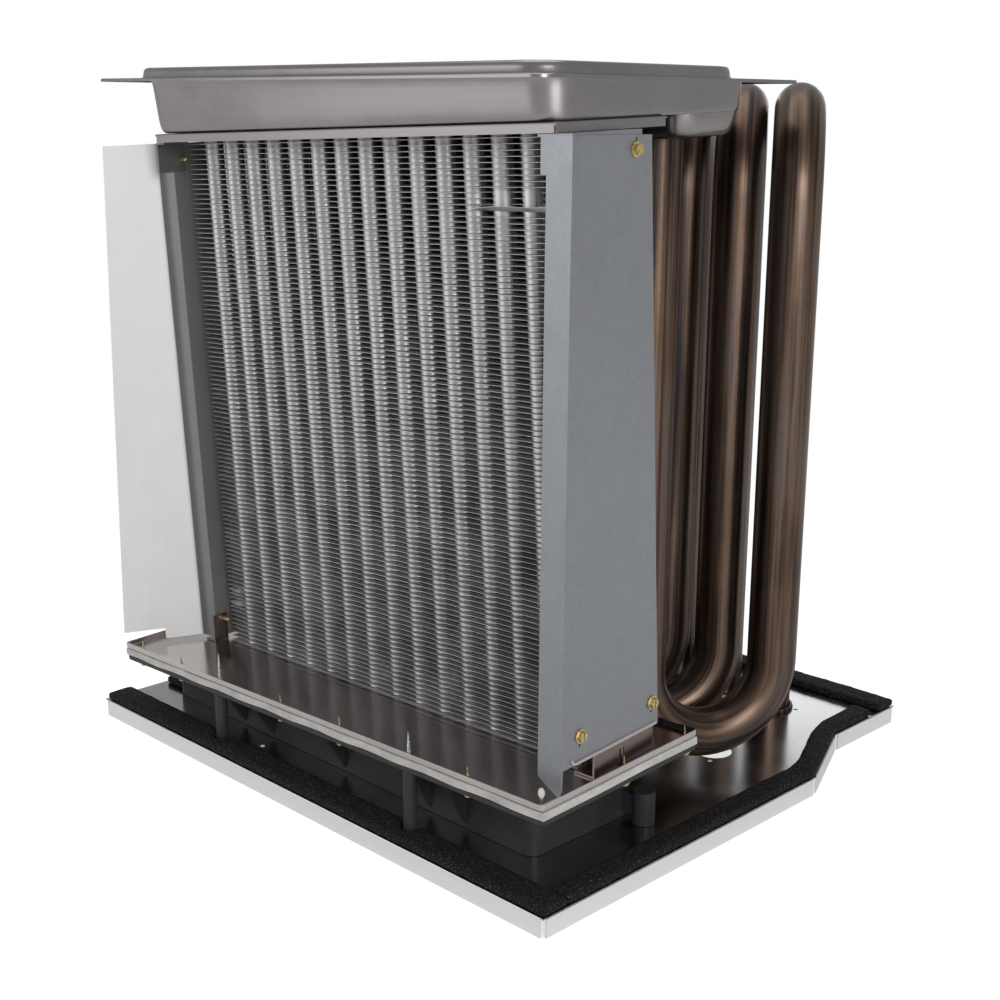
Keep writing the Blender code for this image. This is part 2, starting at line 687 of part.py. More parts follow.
def build_header():
    plate = box(HEADER_LEFT, HEADER_RIGHT, HEADER_FRONT, HEADER_BACK,
                HEADER_TOP - HEADER_RIM, HEADER_TOP)
    inside = box(HEADER_LEFT + HEADER_SHEET, HEADER_RIGHT - HEADER_SHEET,
                 HEADER_FRONT + HEADER_SHEET, HEADER_BACK - HEADER_SHEET,
                 HEADER_TOP - HEADER_RIM - 3 * MM, HEADER_TOP - HEADER_SHEET)
    plate = cut(plate, inside)
    for x in (HEADER_LEFT, HEADER_RIGHT):
        for y in (HEADER_FRONT, HEADER_BACK):
            plate = cut(plate, box(x - 1.8 * MM, x + 1.8 * MM, y - 1.8 * MM, y + 1.8 * MM,
                                   HEADER_TOP - 20 * MM, HEADER_TOP - HEADER_SHEET - 0.4 * MM))
    soften(plate, lambda m, e: abs(m.z - HEADER_TOP) < 1e-6, 1.0 * MM, 2)
    finish("upper_header_plate", plate, STAINLESS, COIL)


# Coupling pan: drawn tray with a deeper boot at the back, and its ribbed cover

def pan_shape(inset, sheet, top_z):
    floor = HEADER_TOP + GAP + sheet

    def loop(x0, x1, y0, y1, radius, height):
        points = rounded_rectangle(x0, x1, y0, y1, radius, 3)
        return [(x, y, height(x, y) if callable(height) else height) for x, y in points]

    def shallow(x, y):
        return coil_plane_height(x, y, floor)

    def deep(x, y):
        return coil_plane_height(x, y, floor) - BOOT_DROP

    def above(x, y):
        return coil_plane_height(x, y, floor) + BOOT_RISE

    x0 = PAN_LEFT + inset
    x1 = PAN_RIGHT - inset
    y0 = PAN_FRONT + inset
    y1 = PAN_BACK - inset
    radius = 16 * MM - inset
    lower = loop(x0, x1, y0, y1, radius, shallow)
    upper = loop(x0 - PAN_FLARE_LEFT, x1 + PAN_FLARE_RIGHT, y0 - PAN_FLARE_FRONT,
                 y1 + PAN_FLARE_FRONT, radius, top_z)
    front = loft_skin([lower, upper])
    boot_low = loop(x0 + 4 * MM, x1 - 2 * MM, BOOT_FRONT + inset + 3 * MM, y1 - 3 * MM,
                    radius - 1 * MM, deep)
    boot_high = loop(x0, x1, BOOT_FRONT + inset, y1, radius, above)
    boot = loft_skin([boot_low, boot_high])
    return join(front, boot)


def build_pan():
    pan_top = COVER_FLANGE_TOP - COVER_SHEET - GAP
    shell = pan_shape(0.0, 0.0, pan_top)
    inner = pan_shape(PAN_SHEET, PAN_SHEET, pan_top + 3 * MM)
    pan = cut(shell, inner)
    for number in range(TUBES):
        pan = cut(pan, hole(TUBE_RADIUS, 0.44, 0.51, 16,
                            LEG_A[0] - number * TUBE_PITCH, LEG_A[1]))
    finish("coupling_pan", pan, STAINLESS, ROOT)


def build_cover():
    def lid_loop(inset, z):
        points = rounded_rectangle(PAN_LEFT - 13 * MM + inset, PAN_RIGHT + 3 * MM - inset,
                                   PAN_FRONT - 14.5 * MM + inset, PAN_BACK - 8 * MM - inset,
                                   20 * MM - inset, 4)
        return [(x, y, z) for x, y in points]

    top = COVER_FLANGE_TOP
    hem = rounded_rectangle(PAN_LEFT - 56 * MM, PAN_RIGHT + 9 * MM, PAN_FRONT - 21.5 * MM,
                            PAN_BACK + 54 * MM, 12 * MM, 4)
    skin = loft_skin([[(x, y, top - COVER_HEM) for x, y in hem],
                      [(x, y, top) for x, y in hem],
                      lid_loop(0.0, top), lid_loop(0.5 * MM, top + 3 * MM),
                      lid_loop(2.0 * MM, COVER_LID_TOP - 1.2 * MM),
                      lid_loop(4.5 * MM, COVER_LID_TOP)], close_bottom=False)
    cover = solidify(skin, COVER_SHEET, -1.0)
    finish("coupling_cover", cover, STAINLESS, ROOT)


# Serpentine tubes: three legs joined by a lower and an upper return bend

def serpentine_path(number):
    shift = -number * TUBE_PITCH
    a = Vector((LEG_A[0] + shift, LEG_A[1]))
    b = Vector((LEG_B[0] + shift, LEG_B[1]))
    c = Vector((LEG_C[0] + shift, LEG_C[1]))
    floor = HEADER_TOP + GAP
    end_a = coil_plane_height(a.x, a.y, floor) - BOOT_DROP + 6 * MM
    points = [Vector((a.x, a.y, end_a))]
    points += return_bend(a, b, LOWER_BEND_Z, -1.0)
    points += return_bend(b, c, UPPER_BEND_Z, 1.0)
    points.append(Vector((c.x, c.y, -2.4 * MM)))
    return points


def return_bend(start, end, z, side, steps=8):
    centre = (start + end) / 2
    half = (start - end) / 2
    points = []
    for k in range(steps + 1):
        angle = math.pi * k / steps
        flat = centre + half * math.cos(angle)
        points.append(Vector((flat.x, flat.y, z + side * half.length * math.sin(angle))))
    return points


def build_tube(number):
    path = serpentine_path(number)
    tube = tube_along(path, TUBE_RADIUS, 4)
    # The ends are open for some way, as cut tube is
    bore = TUBE_RADIUS - TUBE_WALL
    for mouth, low, high in ((path[0], -TUBE_BORE_DEPTH, 5 * MM),
                             (path[-1], -5 * MM, TUBE_BORE_DEPTH)):
        tube = cut(tube, cylinder(bore, mouth.z + low, mouth.z + high, 12, mouth.x, mouth.y))
    finish("serpentine_tube_%d" % (number + 1), tube, TINTED, ROOT)
    collar = ring((TUBE_RADIUS + GAP) / math.cos(math.pi / 16), COLLAR_RADIUS, GAP,
                  GAP + COLLAR_HEIGHT, 16, LEG_C[0] - number * TUBE_PITCH, LEG_C[1], 1.2 * MM)
    finish("inlet_collar_%d" % (number + 1), collar, TINTED, ROOT)


# Right baffle: folded sheet with a narrow front flange

def plate_x(y):
    # Outer face of the right baffle's plate
    return RIGHT_FOLD[0] - (y - RIGHT_FOLD[1]) * math.tan(RIGHT_TURN)


RIGHT_NORMAL = Vector((math.cos(RIGHT_TURN), math.sin(RIGHT_TURN), 0.0))
RIGHT_BACK = RIGHT_FOLD[1] + RIGHT_DEPTH
# Screws through the plate: place along it, height, and where the slot runs
PLATE_SCREWS = ((RIGHT_FOLD[1] + 62.4 * MM, RIGHT_TOP - 9 * MM, 1.0),
                (RIGHT_BACK - 8.0 * MM, 107.3 * MM, -1.0),
                (RIGHT_FOLD[1] + 19.2 * MM, 107.0 * MM, -1.0))


def plate_screw_bore(y, z):
    profile = [(SCREW_SHANK + GAP, -9 * MM), (SCREW_SHANK + GAP, 6 * MM)]
    return turned(profile, 8, (plate_x(y), y, z), RIGHT_NORMAL)


def build_right_baffle():
    path = [(RIGHT_FLANGE_LEFT, RIGHT_FOLD[1]), RIGHT_FOLD, (plate_x(RIGHT_BACK), RIGHT_BACK)]

    def tray(x, y):
        return coil_plane_height(x, y, -SHEET_RIM + GAP)

    def plate_edge(x, y):
        return coil_plane_height(x, y, RIGHT_FOOT)

    baffle = folded_sheet(path, BAFFLE_SHEET, tray, RIGHT_TOP)
    # Slanted cut under the front flange, the plate's lower edge, and its back
    # edge that leans forward
    corner = [(-45 * MM, 81.2 * MM), (-45 * MM, 50 * MM), (-19.7 * MM, 50 * MM),
              (-19.7 * MM, 67.6 * MM)]
    baffle = cut(baffle, prism_along_y(corner, 30 * MM, 35.2 * MM))
    behind_flange = RIGHT_FOLD[1] + BAFFLE_SHEET + 0.5 * MM
    below = prism([(-0.1, behind_flange), (0.0, behind_flange), (0.0, RIGHT_BACK + 0.05),
                   (-0.1, RIGHT_BACK + 0.05)], 0.03, plate_edge)
    baffle = cut(baffle, below)
    baffle = cut(baffle, half_space((plate_x(RIGHT_BACK), RIGHT_BACK, 90.5 * MM),
                                    (0.0, 0.9976, 0.0696)))
    for y, z, side in PLATE_SCREWS:
        baffle = cut(baffle, plate_screw_bore(y, z))
        slot = box(-KEYHOLE, 0.0, -0.8 * MM, 0.8 * MM, -4 * MM, 4 * MM)
        if side < 0.0:
            slot = box(0.0, KEYHOLE, -0.8 * MM, 0.8 * MM, -4 * MM, 4 * MM)
        place(slot, (plate_x(y), y, z), RIGHT_NORMAL)
        baffle = cut(baffle, slot)
    finish("right_baffle", baffle, GALVANISED, ROOT)


def hex_screw(name, at, axis, shank_length, look, parent, slot=True):
    # Washer-faced hex head with its seat at "at" and its shank pointing back
    head = turned([(SCREW_WASHER, GAP), (SCREW_WASHER, 0.9 * MM), (SCREW_HEX, 1.1 * MM)], 12)
    hexagon = cylinder(SCREW_HEX, 0.8 * MM, 3.6 * MM, 6)
    shank = turned([(0.0, -shank_length - 2.0 * MM), (SCREW_SHANK, -shank_length),
                    (SCREW_SHANK, 1.0 * MM)], 8)
    screw = join(head, hexagon, shank)
    if slot:
        screw = cut(screw, box(-6 * MM, 6 * MM, -0.5 * MM, 0.5 * MM, 2.8 * MM, 5 * MM))
    place(screw, at, axis)
    finish(name, screw, look, parent)


def build_plate_screws():
    for number, (y, z, _side) in enumerate(PLATE_SCREWS):
        hex_screw("plate_screw_%d" % (number + 1), (plate_x(y), y, z), RIGHT_NORMAL,
                  5 * MM, BRASS, ROOT)


# Left baffle: inner strip beside the fins and a wing that turns to the front

def build_left_baffle():
    x, y = LEFT_BEND
    edge = (x - 34.4 * MM, y - 59.1 * MM)
    path = [edge, LEFT_BEND, LEFT_RETURN, (LEFT_RETURN[0], FIN_FRONT + FIN_DEPTH + 4 * MM)]
    baffle = folded_sheet(path, BAFFLE_SHEET, LEFT_FOOT, LEFT_TOP)
    # The wing's foot clears the tray's rim and its free edge leans back to the coil
    baffle = cut(baffle, box(x - 41.5 * MM, x - 15.5 * MM, y - 65.5 * MM, y - 27.5 * MM,
                             -10 * MM, 9 * MM))
    baffle = cut(baffle, half_space((edge[0] + 0.5 * MM, edge[1] + 0.9 * MM, 10.3 * MM),
                                    (-0.503, -0.864, 0.0593)))
    for _name, z in LEFT_BRACKET_SCREWS:
        baffle = cut(baffle, left_screw_bore(z))
    finish("left_baffle", baffle, GALVANISED, COIL)


LEFT_BRACKET_SCREWS = (("bracket_screw_1", 16.0 * MM), ("bracket_screw_2", 411.0 * MM))
LEFT_BRACKET_Y = FIN_FRONT - 3.5 * MM


def left_screw_bore(z):
    profile = [(SCREW_SHANK + GAP, -6 * MM), (SCREW_SHANK + GAP, 6 * MM)]
    return turned(profile, 8, (LEFT_RETURN[0], LEFT_BRACKET_Y, z), (1.0, 0.0, 0.0))


# Brackets that tie the coil and the baffles to the tray and to the header

def build_brackets():
    floor = -SHEET_RIM + GAP
    near = LEFT_RETURN[0] + GAP
    far = FIN_FRONT - 0.5 * MM
    upright = box(near, near + BRACKET_SHEET, far - 14 * MM, far, floor, floor + 24 * MM)
    foot = box(near - 12 * MM, near + 1 * MM, far - 14 * MM, far - 6 * MM, floor,
               floor + BRACKET_SHEET)
    bracket = cut(join(foot, upright), left_screw_bore(LEFT_BRACKET_SCREWS[0][1]))
    finish("left_lower_bracket", bracket, GALVANISED, COIL)

    top = HEADER_TOP - HEADER_RIM - GAP
    upright = box(near, near + BRACKET_SHEET, far - 25 * MM, far, top - BRACKET_DROP, top)
    ledge = box(near, near + 12 * MM, far - 25 * MM, far - 2 * MM, top - BRACKET_SHEET, top)
    bracket = cut(join(upright, ledge), left_screw_bore(LEFT_BRACKET_SCREWS[1][1]))
    finish("left_upper_bracket", bracket, GALVANISED, COIL)

    for name, z in LEFT_BRACKET_SCREWS:
        seat = LEFT_RETURN[0] - BAFFLE_SHEET
        hex_screw(name, (seat, LEFT_BRACKET_Y, z), (-1.0, 0.0, 0.0), 9 * MM, BRASS, COIL)

    build_right_brackets(floor)


def inner_line(start, end, away):
    # Two points on a line parallel to the right plate, "away" behind its outer face
    offset = away / math.cos(RIGHT_TURN)
    return [(plate_x(start) - offset, start), (plate_x(end) - offset, end)]


def build_right_brackets(floor):
    behind = BAFFLE_SHEET + GAP
    # Lower one: a foot on the tray and an upright that narrows below the plate
    foot = prism([(-24 * MM, 58 * MM), (-7.5 * MM, 58 * MM), (-10 * MM, 126 * MM),
                  (-24 * MM, 126 * MM)], floor, floor + BRACKET_SHEET)
    bmesh.ops.transform(foot, matrix=COIL_MATRIX, verts=foot.verts[:])

    def tray(x, y):
        return coil_plane_height(x, y, floor)

    def waist(x, y):
        return coil_plane_height(x, y, RIGHT_FOOT + 1 * MM)

    wide = inner_line(RIGHT_FOLD[1] + 12 * MM, RIGHT_BACK - 1 * MM, behind)
    narrow = inner_line(RIGHT_FOLD[1] + 37 * MM, RIGHT_BACK - 4 * MM, behind)
    upper = folded_sheet(wide, BRACKET_SHEET, waist, 116 * MM)
    lower = folded_sheet(narrow, BRACKET_SHEET, tray,
                         lambda x, y: coil_plane_height(x, y, RIGHT_FOOT + 6 * MM))
    bracket = join(upper, lower, foot)
    for y, z, _side in PLATE_SCREWS[1:]:
        bracket = cut(bracket, plate_screw_bore(y, z))
    bore = cylinder(SCREW_SHANK + 1 * MM, -9 * MM, 9 * MM, 8, *FLANGE_SCREWS[5])
    bmesh.ops.transform(bore, matrix=COIL_MATRIX, verts=bore.verts[:])
    bracket = cut(bracket, bore)
    finish("right_lower_bracket", bracket, GALVANISED, ROOT)

    # Upper one: it hangs from the header's rim behind the plate and the flange
    def rim(x, y):
        return coil_plane_height(x, y, HEADER_TOP - HEADER_RIM - GAP)

    def below_rim(x, y):
        return rim(x, y) - BRACKET_SHEET

    def leaf_end(x, y):
        return rim(x, y) - BRACKET_DROP

    front = RIGHT_FOLD[1] + behind
    line = inner_line(front, RIGHT_FOLD[1] + 70 * MM, behind)
    path = [(RIGHT_FLANGE_LEFT - 6 * MM, front), line[0], line[1]]
    leaf = folded_sheet(path, 1.2 * MM, leaf_end, rim)
    ledge = prism([(-48 * MM, front + 0.2 * MM), (line[0][0] - 0.5 * MM, front + 0.2 * MM),
                   (line[1][0] - 0.5 * MM, line[1][1]), (-48 * MM, line[1][1])], below_rim, rim)
    clip = join(leaf, ledge)
    clip = cut(clip, plate_screw_bore(*PLATE_SCREWS[0][:2]))
    finish("right_upper_bracket", clip, GALVANISED, ROOT)


def build_sheet_screws():
    # Screws driven up from below: the hex head under the flange, the tip over the tray
    under = -(SHEET_RIM + SHEET_THICK) - STRIP_GASKET - BOX_FLANGE - 3 * GAP
    for number, (x, y) in enumerate(FLANGE_SCREWS):
        hex_screw("flange_screw_%d" % (number + 1), (x, y, under + GAP), (0.0, 0.0, -1.0),
                  -under + 5 * MM, BRASS, COIL)
    base = -SHEET_RIM + GAP
    for name, (x, y), height in (("post_screw_left", POST_SCREWS[0], 20.0),
                                 ("post_screw_right", POST_SCREWS[1], 14.0)):
        nut = cylinder(4.6 * MM, base, base + 3 * MM, 6)
        shank = turned([(SCREW_SHANK, -17 * MM), (SCREW_SHANK, height * MM - 1 * MM),
                        (1.2 * MM, height * MM)], 8)
        screw = join(nut, shank)
        bmesh.ops.translate(screw, verts=screw.verts[:], vec=(x, y, 0.0))
        finish(name, screw, ZINC, COIL)
    x, y = CORNER_SCREW
    cap = turned([(3.6 * MM, base), (3.6 * MM, 6 * MM), (2.0 * MM, 9 * MM)], 12, (x, y, 0.0))
    finish("corner_screw", cap, WHITE_STRIP, COIL)


build_panel()
build_foam()
build_collector()
build_tube_sheet()
build_fins()
build_header()
build_pan()
build_cover()
for tube_number in range(TUBES):
    build_tube(tube_number)
build_right_baffle()
build_plate_screws()
build_left_baffle()
build_brackets()
build_sheet_screws()
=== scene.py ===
import math

import bmesh
import bpy
import numpy as np
from bpy.props import FloatProperty, FloatVectorProperty, IntProperty, PointerProperty
from mathutils import Euler, Matrix, Vector


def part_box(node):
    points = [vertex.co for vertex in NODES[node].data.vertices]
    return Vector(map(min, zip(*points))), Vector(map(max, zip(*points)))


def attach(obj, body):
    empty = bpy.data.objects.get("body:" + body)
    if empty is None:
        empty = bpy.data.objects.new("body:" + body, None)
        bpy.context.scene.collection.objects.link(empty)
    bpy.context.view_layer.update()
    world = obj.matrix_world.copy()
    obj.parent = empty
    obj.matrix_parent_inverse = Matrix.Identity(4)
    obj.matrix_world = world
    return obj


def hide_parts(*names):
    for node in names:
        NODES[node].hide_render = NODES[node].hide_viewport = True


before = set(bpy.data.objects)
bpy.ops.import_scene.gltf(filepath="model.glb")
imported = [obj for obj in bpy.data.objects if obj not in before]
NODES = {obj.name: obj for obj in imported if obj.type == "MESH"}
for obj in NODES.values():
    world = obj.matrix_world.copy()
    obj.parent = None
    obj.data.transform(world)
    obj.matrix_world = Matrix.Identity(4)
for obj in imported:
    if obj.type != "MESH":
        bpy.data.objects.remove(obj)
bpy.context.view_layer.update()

bl_info = {
    "name": "Condensing Furnace Heat Exchanger",
    "version": (1, 0, 0),
    "blender": (4, 5, 0),
    "location": "View3D > Sidebar > Exchanger",
    "description": "Surfaces, fins, tubes and studio of a furnace heat exchanger",
    "category": "Object",
}

MM = 0.001

# The coil leans two degrees each way; its frame has its origin at the near
# right corner of the tray's rim
COIL = (Matrix.Translation((252.3 * MM, -232.4 * MM, 85.8 * MM))
        @ Euler((math.radians(2.06), math.radians(-1.95), 0.0)).to_matrix().to_4x4())


def coil_box(node):
    """Lowest and highest corner of a CAD node in the coil's own frame."""
    inverse = COIL.inverted()
    points = [inverse @ vert.co for vert in NODES[node].data.vertices]
    low = Vector([min(p[i] for p in points) for i in range(3)])
    high = Vector([max(p[i] for p in points) for i in range(3)])
    return low, high


FIN_LOW, FIN_HIGH = coil_box("fin_pack")


class ExchangerCoilSettings(bpy.types.PropertyGroup):
    """Sizes of the finned coil."""

    fin_pitch: FloatProperty(name="Fin pitch", description="Distance from one fin to the next",
                             default=3.96 * MM, min=1.0 * MM, max=10.0 * MM,
                             precision=4, unit='LENGTH')
    fin_sheet: FloatProperty(name="Fin sheet", description="Thickness of a fin",
                             default=0.32 * MM, min=0.05 * MM, max=1.0 * MM,
                             precision=5, unit='LENGTH')
    fin_ripple: FloatProperty(name="Fin ripple", description="How far the fins' edges wander",
                              default=0.22 * MM, min=0.0, max=1.0 * MM,
                              precision=5, unit='LENGTH')
    tube_radius: FloatProperty(name="Tube radius", description="Radius of the coil's tubes",
                               default=7.9 * MM, min=3.0 * MM, max=12.0 * MM,
                               precision=4, unit='LENGTH')
    tube_pitch: FloatProperty(name="Tube pitch", description="Distance between tubes of a row",
                              default=27.41 * MM, min=15.0 * MM, max=50.0 * MM,
                              precision=4, unit='LENGTH')
    front_tubes: IntProperty(name="Front tubes", description="Tubes in the front row",
                             default=15, min=1, max=30)


class ExchangerTubeSettings(bpy.types.PropertyGroup):
    """Sizes of the bent primary tubes."""

    radius: FloatProperty(name="Radius", description="Outer radius of a bent tube",
                          default=19.05 * MM, min=8.0 * MM, max=30.0 * MM,
                          precision=4, unit='LENGTH')
    wall: FloatProperty(name="Wall", description="Wall of a bent tube at its open end",
                        default=1.2 * MM, min=0.5 * MM, max=4.0 * MM,
                        precision=4, unit='LENGTH')
    sides: IntProperty(name="Sides", description="Facets round a bent tube",
                       default=48, min=12, max=96)


class ExchangerFinishSettings(bpy.types.PropertyGroup):
    """Colours of the surfaces."""

    galvanised: FloatVectorProperty(name="Galvanised sheet", description="Baffles",
                                    default=(0.30, 0.312, 0.33), size=3, min=0.0, max=1.0,
                                    subtype='COLOR')
    # Painted light: the wing's colour is whitened for the light that falls on it
    lit_wing: FloatVectorProperty(name="Wing sheet", description="Left baffle",
                              default=(0.93, 0.935, 0.93), size=3, min=0.0, max=1.0,
                              subtype='COLOR')
    panel: FloatVectorProperty(name="Panel sheet", description="Vestibule panel",
                               default=(0.66, 0.66, 0.67), size=3, min=0.0, max=1.0,
                               subtype='COLOR')
    stainless: FloatVectorProperty(name="Stainless sheet", description="Pan, cover and header",
                                   default=(0.29, 0.274, 0.272), size=3, min=0.0, max=1.0,
                                   subtype='COLOR')
    tray: FloatVectorProperty(name="Tray", description="Lower tube sheet",
                              default=(0.58, 0.535, 0.525), size=3, min=0.0, max=1.0,
                              subtype='COLOR')
    fins: FloatVectorProperty(name="Fins", description="Fins of the coil",
                              default=(0.56, 0.56, 0.565), size=3, min=0.0, max=1.0,
                              subtype='COLOR')
    coil_tubes: FloatVectorProperty(name="Coil tubes", description="Straight tubes of the coil",
                                    default=(0.56, 0.54, 0.54), size=3, min=0.0, max=1.0,
                                    subtype='COLOR')
    foam: FloatVectorProperty(name="Foam", description="Sealing foam on the panel",
                              default=(0.006, 0.0055, 0.0055), size=3, min=0.0, max=1.0,
                              subtype='COLOR')
    plastic: FloatVectorProperty(name="Plastic", description="Moulded collector box",
                                 default=(0.036, 0.036, 0.039), size=3, min=0.0, max=1.0,
                                 subtype='COLOR')
    strip: FloatVectorProperty(name="Strip", description="White sealing strip under the tray",
                               default=(0.66, 0.64, 0.60), size=3, min=0.0, max=1.0,
                               subtype='COLOR')
    brass: FloatVectorProperty(name="Plated screw", description="Yellow plated screws",
                               default=(0.62, 0.50, 0.26), size=3, min=0.0, max=1.0,
                               subtype='COLOR')
    zinc: FloatVectorProperty(name="Zinc screw", description="Bright screws of the posts",
                              default=(0.62, 0.62, 0.61), size=3, min=0.0, max=1.0,
                              subtype='COLOR')


class ExchangerStudioSettings(bpy.types.PropertyGroup):
    """Studio round the exchanger."""

    floor: FloatVectorProperty(name="Floor", description="Colour of the floor",
                               default=(0.86, 0.86, 0.86), size=3, min=0.0, max=1.0,
                               subtype='COLOR')
    key: FloatProperty(name="Key light", description="Power of the large lamp at the right",
                       default=28.0, min=0.0, max=500.0, unit='POWER')
    left: FloatProperty(name="Left light", description="Power of the lamp at the front left",
                        default=15.0, min=0.0, max=500.0, unit='POWER')
    top: FloatProperty(name="Top light", description="Power of the lamp overhead",
                       default=14.0, min=0.0, max=500.0, unit='POWER')
    back: FloatProperty(name="Back light", description="Power of the lamp behind the part",
                        default=6.5, min=0.0, max=500.0, unit='POWER')
    world: FloatProperty(name="World", description="Strength of the light from all round",
                         default=0.40, min=0.0, max=4.0)
    lens: FloatProperty(name="Lens", description="Focal length of the camera",
                        default=55.106, min=10.0, max=300.0)


def settings(name):
    """One of the property groups of the scene."""
    return getattr(bpy.context.scene, "exchanger_" + name)


# Materials

def math_node(tree, operation, *values):
    """Result of a math node; each value is a socket or a number."""
    node = tree.nodes.new("ShaderNodeMath")
    node.operation = operation
    for socket, value in zip(node.inputs, values):
        if isinstance(value, bpy.types.NodeSocket):
            tree.links.new(value, socket)
        else:
            socket.default_value = value
    return node.outputs[0]


class Finish:
    """A new node material and short ways to add nodes to it."""

    def __init__(self, name, color, metallic, roughness):
        self.material = bpy.data.materials.new(name)
        self.material.use_nodes = True
        self.tree = self.material.node_tree
        self.shader = self.tree.nodes["Principled BSDF"]
        self.color = tuple(color) + (1.0,)
        self.shader.inputs["Base Color"].default_value = self.color
        self.shader.inputs["Metallic"].default_value = metallic
        self.shader.inputs["Roughness"].default_value = roughness
        self.coords = self.tree.nodes.new("ShaderNodeTexCoord")
        self.space = self.coords.outputs["Object"]

    def link(self, source, target):
        self.tree.links.new(source, target)

    def metallic(self, value):
        self.link(value, self.shader.inputs["Metallic"])

    def height(self):
        """How high a point lies, in the object's own space."""
        node = self.tree.nodes.new("ShaderNodeSeparateXYZ")
        self.link(self.coords.outputs["Object"], node.inputs[0])
        return node.outputs["Z"]

    def total(self, first, second):
        """Sum of two sockets."""
        return math_node(self.tree, 'ADD', first, second)

    def mapped(self, scale):
        """The finish's coordinates, scaled along each axis."""
        node = self.tree.nodes.new("ShaderNodeMapping")
        node.inputs["Scale"].default_value = scale
        self.link(self.space, node.inputs["Vector"])
        return node.outputs["Vector"]

    def noise(self, scale, detail=4.0, roughness=0.55, stretch=(1.0, 1.0, 1.0)):
        node = self.tree.nodes.new("ShaderNodeTexNoise")
        node.inputs["Scale"].default_value = scale
        node.inputs["Detail"].default_value = detail
        node.inputs["Roughness"].default_value = roughness
        self.link(self.mapped(stretch), node.inputs["Vector"])
        return node.outputs["Fac"]

    def cells(self, scale, stretch=(1.0, 1.0, 1.0)):
        node = self.tree.nodes.new("ShaderNodeTexVoronoi")
        node.inputs["Scale"].default_value = scale
        self.link(self.mapped(stretch), node.inputs["Vector"])
        return node

    def span(self, value, low, high, from_low=0.3, from_high=0.7):
        """The value, moved from one range to another and kept inside it."""
        node = self.tree.nodes.new("ShaderNodeMapRange")
        node.inputs["From Min"].default_value = from_low
        node.inputs["From Max"].default_value = from_high
        node.inputs["To Min"].default_value = low
        node.inputs["To Max"].default_value = high
        self.link(value, node.inputs["Value"])
        return node.outputs["Result"]

    def ramp(self, value, stops):
        """Colour that runs through the stops as the value grows."""
        node = self.tree.nodes.new("ShaderNodeValToRGB")
        elements = node.color_ramp.elements
        while len(elements) < len(stops):
            elements.new(0.5)
        for element, (position, color) in zip(elements, stops):
            element.position = position
            element.color = tuple(color) + (1.0,)
        self.link(value, node.inputs["Fac"])
        return node.outputs["Color"]

    def blend(self, first, second, factor):
        """Mix of two colours; each argument is a socket or a plain value."""
        node = self.tree.nodes.new("ShaderNodeMix")
        node.data_type = 'RGBA'
        for socket, value in ((node.inputs[6], first), (node.inputs[7], second)):
            if isinstance(value, bpy.types.NodeSocket):
                self.link(value, socket)
            else:
                socket.default_value = tuple(value)[:3] + (1.0,)
        if isinstance(factor, bpy.types.NodeSocket):
            self.link(factor, node.inputs[0])
        else:
            node.inputs[0].default_value = factor
        return node.outputs[2]

    def shades(self, value, dark, light):
        """Base colour that runs from dark to light times the finish's colour."""
        low = tuple(c * dark for c in self.color[:3])
        high = tuple(min(1.0, c * light) for c in self.color[:3])
        return self.ramp(value, ((0.3, low), (0.7, high)))

    def base(self, color):
        self.link(color, self.shader.inputs["Base Color"])

    def rough(self, value):
        self.link(value, self.shader.inputs["Roughness"])

    def bump(self, value, strength, distance):
        """Relief from a value, on top of the relief that is there already."""
        node = self.tree.nodes.new("ShaderNodeBump")
        node.inputs["Strength"].default_value = strength
        node.inputs["Distance"].default_value = distance
        self.link(value, node.inputs["Height"])
        previous = self.shader.inputs["Normal"].links
        if previous:
            self.link(previous[0].from_socket, node.inputs["Normal"])
        self.link(node.outputs["Normal"], self.shader.inputs["Normal"])


def galvanised_finish(name, color, roughness):
    """Zinc coated sheet: faint spangle, cloudy patches and rolling marks."""
    finish = Finish(name, color, 0.82, roughness)
    clouds = finish.noise(22.0, 5.0, 0.6)
    spangle = finish.cells(230.0)
    streaks = finish.noise(60.0, 3.0, 0.5, (9.0, 9.0, 0.25))
    tone = finish.shades(clouds, 0.90, 1.07)
    tone = finish.blend(tone, finish.shades(spangle.outputs["Color"], 0.90, 1.08), 0.35)
    tone = finish.blend(tone, finish.shades(streaks, 0.93, 1.04), 0.3)
    finish.base(tone)
    finish.rough(finish.span(clouds, roughness - 0.06, roughness + 0.08))
    finish.bump(finish.noise(420.0, 3.0), 0.12, 0.2 * MM)
    return finish.material


# Where the left baffle's wing ends (its pale colour is painted light), and where the
# strip behind it (its dark colour is painted shade) lightens away from it, in the coil's frame
WING_EDGE = (-469.5 * MM, -467.5 * MM)
STRIP_SHADE_FADE = (-463.0 * MM, -457.5 * MM)


